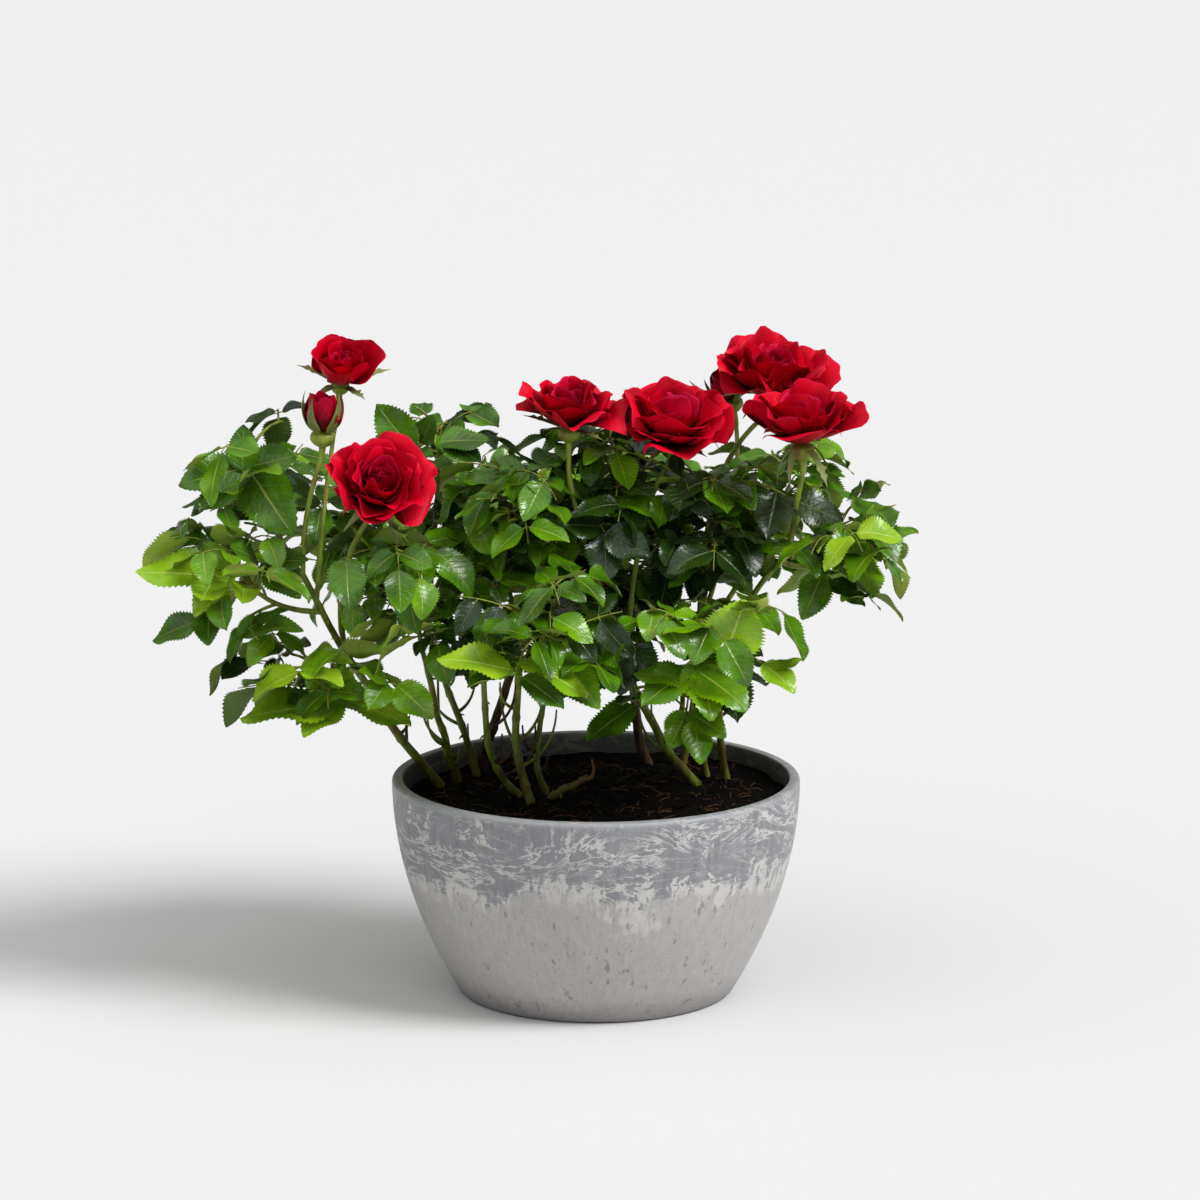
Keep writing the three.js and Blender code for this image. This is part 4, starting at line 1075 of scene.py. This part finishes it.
def fibres(heap, radius, many, seed):
    """Roots and peat fibres that lie on the soil and poke out of it."""
    draw = np.random.default_rng(seed)
    for _ in range(many):
        away, angle = radius * math.sqrt(draw.uniform(0.01, 0.9)), draw.uniform(0, 2 * math.pi)
        heading = draw.uniform(0, 2 * math.pi)
        length = draw.uniform(4, 15)
        t = np.linspace(0, 1, 7)
        turn = heading + draw.uniform(-1.4, 1.4) * t
        path = np.stack([
            away * math.cos(angle) + np.cumsum(np.cos(turn)) * length / 7,
            away * math.sin(angle) + np.cumsum(np.sin(turn)) * length / 7,
            np.zeros(7),
        ], 1)
        if np.hypot(path[:, 0], path[:, 1]).max() > radius - 1:
            continue
        path[:, 2] = soil_height(path) + 0.4 + draw.uniform(0, 1.6) * np.sin(math.pi * t)
        tube(heap, path, np.full(7, draw.uniform(0.12, 0.26)), 4, finish=int(draw.uniform() < 0.6))


# ---- Bowl ----
def bowl_radius(z):
    """The bowl's outer radius at a height: a parabola that stands upright at the rim."""
    return POT["rim"] - (POT["rim"] - POT["foot"]) * (1 - z / POT["height"]) ** 2


def bowl(heap):
    """The bowl's profile runs from the middle of its underside up the outside, over the rounded lip
    and down to the middle of its floor. It is turned into a mesh."""
    sides, height, lip = 192, POT["height"], POT["lip"]
    foot, opening, inner_lip = bowl_radius(0), POT["rim"] - POT["wall"], 1.2
    profile = [(HUB, POT["hollow"]), (foot - 9, POT["hollow"]), (foot - 7.5, 0), (foot - 1.5, 0)]
    profile.append((foot - 0.4, 0.5))
    profile += [(bowl_radius(z), z) for z in np.linspace(1.5, height - lip, 46)]
    rounding = [(1 - math.cos(a), 1 - math.sin(a)) for a in np.linspace(0, 1, 8)[1:-1] * math.pi / 2]
    profile += [(POT["rim"] - lip * across, height - lip * down) for across, down in rounding]
    profile += [(opening + inner_lip * down, height - inner_lip * across) for across, down in rounding]
    profile += [(bowl_radius(z) - POT["wall"], z) for z in np.linspace(height - lip, POT["floor"], 24)]
    profile.append((HUB, POT["floor"]))
    angles = np.arange(sides) * 2 * math.pi / sides
    points = [(r * math.cos(a), r * math.sin(a), z) for r, z in profile for a in angles]
    heap.add(np.array(points), [grid_faces(len(profile), sides, closed=True)])


# ---- Finishes ----
def paint(code):
    """A colour that a shader takes, from its usual six-figure code."""
    parts = [int(code[i: i + 2], 16) / 255 for i in (0, 2, 4)]
    return (*[p / 12.92 if p <= 0.04045 else ((p + 0.055) / 1.055) ** 2.4 for p in parts], 1)


def operator(operation, reflected=False):
    """A Math node as a method of Value. A reflected one puts the other value first."""
    def method(self, *others):
        values = (*others, self) if reflected else (self, *others)
        return self.finish.node("ShaderNodeMath", {"operation": operation}, dict(enumerate(values)))
    return method


class Value:
    """A shader socket that sums can be written with."""

    def __init__(self, finish, socket):
        self.finish, self.socket = finish, socket

    __add__ = __radd__ = operator("ADD")
    __sub__, __rsub__ = operator("SUBTRACT"), operator("SUBTRACT", reflected=True)
    __mul__ = __rmul__ = operator("MULTIPLY")
    __truediv__, __rtruediv__ = operator("DIVIDE"), operator("DIVIDE", reflected=True)
    __abs__ = operator("ABSOLUTE")
    fraction = operator("FRACT")


class Finish:
    """A material, with its shader's sockets set by name and the nodes that drive some of them."""

    def __init__(self, name, **sockets):
        self.material = bpy.data.materials.new(name)
        self.material.use_nodes = True
        self.tree = self.material.node_tree
        self.shader = self.tree.nodes["Principled BSDF"]
        self.set(**sockets)

    def set(self, **sockets):
        for name, value in sockets.items():
            self.fill(self.shader.inputs[name.replace("_", " ").title().replace("Ior", "IOR")], value)

    def fill(self, socket, value):
        """Links a value to a socket, or sets the socket to a number, a vector or a colour's code."""
        if isinstance(value, Value):
            self.tree.links.new(value.socket, socket)
        else:
            socket.default_value = paint(value) if isinstance(value, str) else value

    def node(self, kind, settings, sockets, output=0):
        made = self.tree.nodes.new(kind)
        for name, value in settings.items():
            setattr(made, name, value)
        for key, value in sockets.items():
            self.fill(made.inputs[key], value)
        return Value(self, made.outputs[output])

    def step(self, value, low, high):
        """0 up to low, 1 from high on, and smooth between them."""
        sockets = {"Value": value, "From Min": low, "From Max": high}
        return self.node("ShaderNodeMapRange", {"interpolation_type": "SMOOTHSTEP"}, sockets)

    def mix(self, factor, first, second):
        return self.node("ShaderNodeMix", {"data_type": "RGBA"}, {0: factor, 6: first, 7: second}, 2)

    def place(self):
        return self.node("ShaderNodeTexCoord", {}, {}, "Object")

    def stretched(self, vector, upright):
        """Draws marks out upright, or flattens them where upright is over 1."""
        return self.node("ShaderNodeVectorMath", {"operation": "MULTIPLY"}, {0: vector, 1: (1, 1, upright)})

    def noise(self, vector, scale, detail=4, roughness=0.55, distortion=0.0):
        sockets = {"Scale": scale, "Detail": detail, "Roughness": roughness, "Distortion": distortion}
        return self.node("ShaderNodeTexNoise", {}, {"Vector": vector, **sockets})

    def part(self, vector, axis):
        return self.node("ShaderNodeSeparateXYZ", {}, {"Vector": vector}, axis)

    def marks(self):
        """How far across and along its leaflet, petal or sepal a place is."""
        vector = self.node("ShaderNodeUVMap", {"uv_map": "across_along"}, {})
        return self.part(vector, "X"), self.part(vector, "Y")

    def bump(self, height, strength, distance):
        sockets = {"Height": height, "Strength": strength, "Distance": distance}
        self.set(normal=self.node("ShaderNodeBump", {}, sockets))


def leaf_finish(name, top, deep, rib, under):
    """A glossy leaf with a pale midrib and sunken side veins, and a paler, duller underside."""
    finish = Finish(name, specular_ior_level=0.5)
    across, along = finish.marks()
    side = abs(across * 2 - 1)
    ribs = 1 - finish.step(side, 0.012, 0.07)
    spacing = (along - 0.24 * side) * 7.5
    from_vein = abs(spacing.fraction() - 0.5) * 2
    veins = finish.step(from_vein, 0.86, 1) * (1 - finish.step(side, 0.7, 0.98))
    place = finish.place()
    blotch = finish.noise(place, 55, 3)
    shade = finish.step(blotch, 0.34, 0.66)
    body = finish.mix(shade * 0.75 + (1 - finish.step(side, 0, 0.9)) * 0.2, top, deep)
    veined = finish.mix(ribs * 0.6 + veins * 0.12, body, rib)
    back = finish.node("ShaderNodeNewGeometry", {}, {}, "Backfacing")
    finish.set(base_color=finish.mix(back, veined, under))
    finish.set(roughness=0.2 + back * 0.4 + shade * 0.14)
    grain = finish.noise(place, 900, 2)
    dents = finish.noise(place, 190, 2)
    height = (1 - veins) * 0.4 - ribs * 0.6 + (1 - from_vein * from_vein) * 0.12 + grain * 0.1 + dents * 1.7
    finish.bump(height, 0.7, 0.0004)
    return finish.material


def petal_finish(name, bright, deep, edge):
    """Velvety petals: darker at their foot, which is painted shade deep in the flower, and in cloudy
    patches, with fine veins and a thin lighter rim, which is a painted highlight.
    """
    finish = Finish(name, specular_ior_level=0.1)
    across, along = finish.marks()
    place = finish.place()
    cloud = finish.noise(place, 60, 3)
    lines = finish.node("ShaderNodeCombineXYZ", {}, {"X": across * 26, "Y": along * 1.5})
    streak = finish.noise(lines, 1.6, 2)
    # Painted shade: each petal darkens towards its foot, where the petals crowd at the heart of the flower.
    foot = (1 - finish.step(along, 0.1, 0.9)) * 0.85
    body = finish.mix(foot + finish.step(cloud, 0.42, 0.68) * 0.4 + (streak - 0.5) * 0.4, bright, deep)
    # Painted highlight: a thin lighter, pinker rim and pink streaks near it, for the light that the rolled
    # edges catch.
    rim = finish.step(along, 0.95, 1) * 0.4
    rim = rim + finish.step(along, 0.6, 1) * finish.step(streak, 0.5, 0.75) * 0.18
    finish.set(base_color=finish.mix(rim, body, edge), roughness=0.36 + cloud * 0.22)
    finish.bump(streak * 0.6 + finish.noise(place, 700, 2) * 0.3, 0.35, 0.0003)
    return finish.material


def bark_finish(name, pale, dark, scale, roughness, depth, blush=None):
    """Skin of a cane or a twig, flecked and streaked along its length. A blush colours patches of it,
    and most of it near the soil."""
    finish = Finish(name, specular_ior_level=0.4)
    place = finish.place()
    streaks = finish.noise(finish.stretched(place, 0.2), scale, 5, 0.6)
    flecks = finish.noise(place, scale * 2.5, 3)
    mask = finish.step(streaks, 0.4, 0.64)
    colour = finish.mix(mask, pale, dark)
    colour = finish.mix(finish.step(flecks, 0.62, 0.72) * 0.5, colour, dark)
    if blush:
        low = 1 - finish.step(finish.part(place, "Z"), (SOIL["top"] + 1) * MM, (SOIL["top"] + 33) * MM)
        patches = finish.step(finish.noise(place, 48, 3) + low * 0.16, 0.52, 0.68)
        colour = finish.mix(patches * 0.65, colour, blush)
    finish.set(base_color=colour, roughness=roughness)
    finish.bump(streaks * 0.7 + flecks * 0.3, 0.6, depth)
    return finish.material


def bowl_finish():
    """Stone-look resin: a blue-grey upper half with torn whitish veins, over a paler flecked half."""
    finish = Finish("bowl_stone_look", specular_ior_level=0.4)
    place = finish.place()
    height = finish.part(place, "Z") / (POT["height"] * MM)
    drift = finish.noise(finish.stretched(place, 1.6), 20, 4, 0.55, 0.6)
    fringe = finish.noise(finish.stretched(place, 0.3), 210, 4, 0.6, 0.4)
    plumes = finish.noise(finish.stretched(place, 1.3), 44, 7, 0.6, 1.8)
    edge = height + (drift - 0.5) * 0.5 + (fringe - 0.5) * 0.08 + (plumes - 0.5) * 0.28
    upper = finish.step(edge, 0.6, 0.63)
    border = upper * (1 - finish.step(edge, 0.63, 0.72)) + (1 - upper) * finish.step(edge, 0.5, 0.6) * 0.55
    flow = finish.noise(finish.stretched(place, 2.8), 17, 8, 0.68, 3)
    ridges = 1 - abs(flow - 0.5) * 2
    patches = finish.step(finish.noise(finish.stretched(place, 2.2), 21, 3), 0.42, 0.6)
    veins = finish.step(ridges, 0.93, 0.985) * (0.35 + patches * 0.65) * upper
    islands = finish.step(plumes, 0.58, 0.62) * finish.step(flow, 0.46, 0.54) * upper
    brushed = finish.noise(finish.stretched(place, 0.12), 330, 3, 0.6)
    speck = finish.noise(place, 900, 3, 0.75)
    cool = finish.mix(brushed, "67686c", "9fa0a4")
    warm = finish.mix(speck * 0.6 + brushed * 0.4, "7e7c7b", "cfcdcb")
    body = finish.mix(upper, warm, cool)
    white = finish.step(veins + islands + border * finish.step(fringe, 0.4, 0.56), 0.1, 0.8)
    body = finish.mix(white * 0.8, body, "cfccc8")
    drips = finish.noise(finish.stretched(place, 0.3), 260, 3, 0.6)
    flecks = finish.step(drips, 0.62, 0.68) * (1 - upper)
    body = finish.mix(flecks * 0.55, body, "6a6766")
    # Painted shade: the inside of the wall above the soil is painted dark grey, for the shade in the bowl's
    # mouth.
    flat = finish.stretched(place, 0)
    from_axis = finish.node("ShaderNodeVectorMath", {"operation": "LENGTH"}, {0: flat}, "Value")
    opening = (POT["rim"] - POT["wall"]) * MM
    mouth_shade = (1 - finish.step(from_axis, opening - MM, opening + MM)) * finish.step(height, 0.8, 0.86)
    body = finish.mix(mouth_shade, body, "3f4145")
    # Painted highlight: the rounded top of the lip is painted a lighter grey, where it catches the light.
    lip = finish.step(height, 0.965, 0.99) * (1 - mouth_shade)
    body = finish.mix(lip * 0.6, body, "9fa1a4")
    # Darker towards the bottom of the bowl.
    darker_to_base = 1 - finish.step(height, 0.0, 0.16)
    finish.set(base_color=finish.mix(darker_to_base * 0.45, body, "4d4646"))
    finish.set(roughness=0.38 + speck * 0.14 + white * 0.14)
    finish.bump(speck * 0.35 + white * 0.5 + brushed * 0.3, 0.25, 0.0004)
    return finish.material


def earth_finish(name, dark, light, roughness):
    """Matt peat or bark, with fine grains and clods."""
    finish = Finish(name, specular_ior_level=0.12, roughness=roughness)
    place = finish.place()
    grains = finish.noise(place, 420, 6, 0.7)
    clods = finish.noise(place, 70, 4)
    mask = finish.step(grains, 0.5, 0.8) * 0.7 + finish.step(clods, 0.5, 0.75) * 0.3
    finish.set(base_color=finish.mix(mask, dark, light))
    finish.bump(grains + clods * 0.5, 0.9, 0.0011)
    return finish.material


LEAF_FINISHES = [
    leaf_finish("leaf_dark", "28460a", "112304", "5c762c", "566e2c"),
    leaf_finish("leaf_green", "528604", "2a4f03", "97ad3c", "78902a"),
    leaf_finish("leaf_fresh", "72a408", "457804", "b8ca46", "94aa38"),
    leaf_finish("leaf_young", "98be20", "70a40e", "d0dc6a", "b4c64e"),
]
# Each petal colour comes with the darker colour of the painted shade at its foot and the paler colour of
# its painted rim highlight. The inner petals take the darkest shade and the pinkest rims, for the deep gaps
# and bright glints at the heart.
PETAL_FINISHES = [
    petal_finish("petal_outer", "d60024", "66000a", "e81c50"),
    petal_finish("petal_inner", "cc0432", "4c000c", "f44080"),
    petal_finish("petal_bud", "a40022", "56000a", "c81c48"),
]
SEPAL_FINISH = leaf_finish("sepal", "6f7d34", "565c26", "a9a568", "8f9a5c")
CANE_FINISH = bark_finish("green_cane", "7f9432", "56661c", 260, 0.42, 0.0003, "6a4424")
WOOD_FINISH = bark_finish("old_wood", "5d4432", "2c1e15", 320, 0.75, 0.0009)
DRIED_FINISH = bark_finish("dried_end", "9c6a44", "5a3420", 320, 0.7, 0.0006)
STALK_FINISH = bark_finish("flower_stalk", "8fa438", "727a2a", 240, 0.4, 0.0002, "8a5030")
TWIG_FINISH = bark_finish("twig", "8a9c34", "66641f", 300, 0.45, 0.0002, "7a4a26")
EARTH_FINISH = earth_finish("peat", "050302", "140c07", 0.95)
CRUMB_FINISHES = [
    earth_finish("peat_crumb", "060403", "1a0f09", 0.95),
    earth_finish("bark_crumb", "2a1a10", "543824", 0.85),
]
FIBRE_FINISHES = [
    earth_finish("dark_fibre", "1c110a", "3a2517", 0.85),
    earth_finish("pale_fibre", "5b3f28", "86633f", 0.8),
]


# ---- Assembly ----
def make_bowl_and_soil():
    radius = bowl_radius(SOIL["top"]) - POT["wall"] - 2 * SEAT
    heaps = [Heap() for _ in range(4)]
    bowl(heaps[0])
    soil_bed(heaps[1], radius)
    crumbs(heaps[2], radius - 2, 1500, 21)
    fibres(heaps[3], radius - 1, 420, 22)
    heaps[0].piece("bowl", [bowl_finish()], ["pot"], "pot")
    heaps[1].piece("peat_bed", [EARTH_FINISH], ["soil"], "soil")
    heaps[2].piece("peat_crumbs", CRUMB_FINISHES, slot="soil")
    heaps[3].piece("peat_fibres", FIBRE_FINISHES, slot="soil")


def make_canes():
    green, old = Heap(), Heap()
    for seed, name in enumerate([*CANES, *BOUGHS]):
        limb = limbs[name]
        if name in OLD_WOOD:
            path, radii = limb_path(limb, 3, seed)
            tube(old, path, radii, 20, relief=ridged_bark)
            continue
        path, radii = limb_path(limb, 5 if limb["on_soil"] else 2, seed)
        tube(green, path, radii, LIMB["sides"], relief=smooth_bark)
        thorns(green, limb, 6 if limb["on_soil"] else 1, seed)
        if limb["on_soil"] and name != "cut_stub":
            side_twigs(green if seed % 2 else old, limb, 4, seed)
    stub = limbs["cut_stub"]["curve"]
    hook = Bend(stub.end - stub.tangent(1) * 2, stub.end + (2.5, -0.5, 1.5), stub.end + (2, -2, 9.5))
    t = np.linspace(0, 1, 14)
    tube(old, hook.at(t), 1.2 * (1 - 0.55 * t), 9, finish=1, relief=ridged_bark)
    green.piece("canes", [CANE_FINISH], [n for n in [*CANES, *BOUGHS] if n not in OLD_WOOD], "green_wood")
    old.piece("old_canes", [WOOD_FINISH, DRIED_FINISH], OLD_WOOD, "old_wood")


def make_blooms():
    stalks, calyx = Heap(), Heap()
    for seed, (name, bloom) in enumerate(blooms.items()):
        heap = Heap()
        (bud if bloom["closed"] else rose)(heap, bloom, 300 + seed)
        heap.piece(name + "_petals", PETAL_FINISHES, [name], "petals")
        flower_stalk(stalks, name, bloom, 40 + seed)
        sepals(calyx, bloom, 500 + seed)
    stalks.piece("flower_stalks", [STALK_FINISH], STALKS, "green_wood")
    calyx.piece("sepals", [SEPAL_FINISH], slot="green_wood")


def make_foliage():
    for name, mass in MASSES.items():
        root = limbs[mass["on"][0]]["curve"].at(mass["on"][1])
        centre = np.array(mass["centre"], float)
        tip = centre + UP * STEM["reach"] * mass["half"][2]
        stems[name] = Bend(root, root + (centre - root) * STEM["bow"], tip)
    for index, name in enumerate(MASSES):
        note_limb(stems[name], STEM["radii"], own=index)
    twigs, placed = Heap(), Placed(TWIG["disc"], TWIG["apart"])
    regions = {"left": "left", "mid": "middle", "back": "middle", "right": "right"}
    region_of = {name: regions[name.split("_")[1]] for name in MASSES}
    blades = {region: [[], [], [], []] for region in ("left", "middle", "right")}
    draw = np.random.default_rng(77)
    for spray in SPRAYS:
        blades[region_of[spray["mass"]]][spray["tint"]] += hang_spray(spray, twigs, placed, draw)
    for index, (name, mass) in enumerate(MASSES.items()):
        grow_mass(index, name, mass, twigs, placed, blades[region_of[name]])
    for region, by_tint in blades.items():
        heap = Heap()
        for tint, group in enumerate(by_tint):
            if group:
                add_blades(heap, group, tint)
        replaced = [name for name in MASSES if region_of[name] == region]
        heap.piece("leaves_" + region, LEAF_FINISHES, replaced, "leaves")
    twigs.piece("twigs", [TWIG_FINISH], slot="green_wood")


def make_stage():
    mesh = bpy.data.meshes.new("floor")
    size = 14
    corners = [(-size, -size, 0), (size, -size, 0), (size, size, 0), (-size, size, 0)]
    mesh.from_pydata(corners, [], [(0, 1, 2, 3)])
    paving = Finish("pale_floor", base_color="dbdbdb", roughness=0.8, specular_ior_level=0.2)
    mesh.materials.append(paving.material)
    floor = stand("floor", mesh)


def sun(name, way, softness, power):
    """A far light that shines along a way, with a softness that is its width in degrees."""
    lamp = bpy.data.lights.new(name, "SUN")
    lamp.angle, lamp.energy = math.radians(softness), power
    flat = math.hypot(way[0], way[1])
    turn = (math.atan2(flat, -way[2]), 0, math.atan2(way[1], way[0]) - math.pi / 2)
    stand(name, lamp).rotation_euler = turn


def make_lights_and_camera():
    sun("right_window", (-1.8, 0.8, -2.0), 26, 2.75)
    sun("soft_ceiling", (0.15, 0.3, -1), 95, 1.5)
    world = bpy.data.worlds.new("pale_room")
    world.use_nodes = True
    sky = world.node_tree.nodes["Background"].inputs
    sky["Color"].default_value, sky["Strength"].default_value = (1, 1, 1, 1), 0.2
    bpy.context.scene.world = world
    lens = bpy.data.cameras.new("camera")
    lens.lens, lens.sensor_width = 150, 36
    lens.clip_end = 60
    camera = stand("camera", lens)
    camera.location = (0.00196, -2.38567, 0.67555)
    camera.rotation_euler = (math.radians(90 - 11.4), 0, 0)
    bpy.context.scene.camera = camera
    bpy.context.scene.view_settings.view_transform = "Standard"


make_lights_and_camera()
make_stage()
make_bowl_and_soil()
make_canes()
make_blooms()
make_foliage()
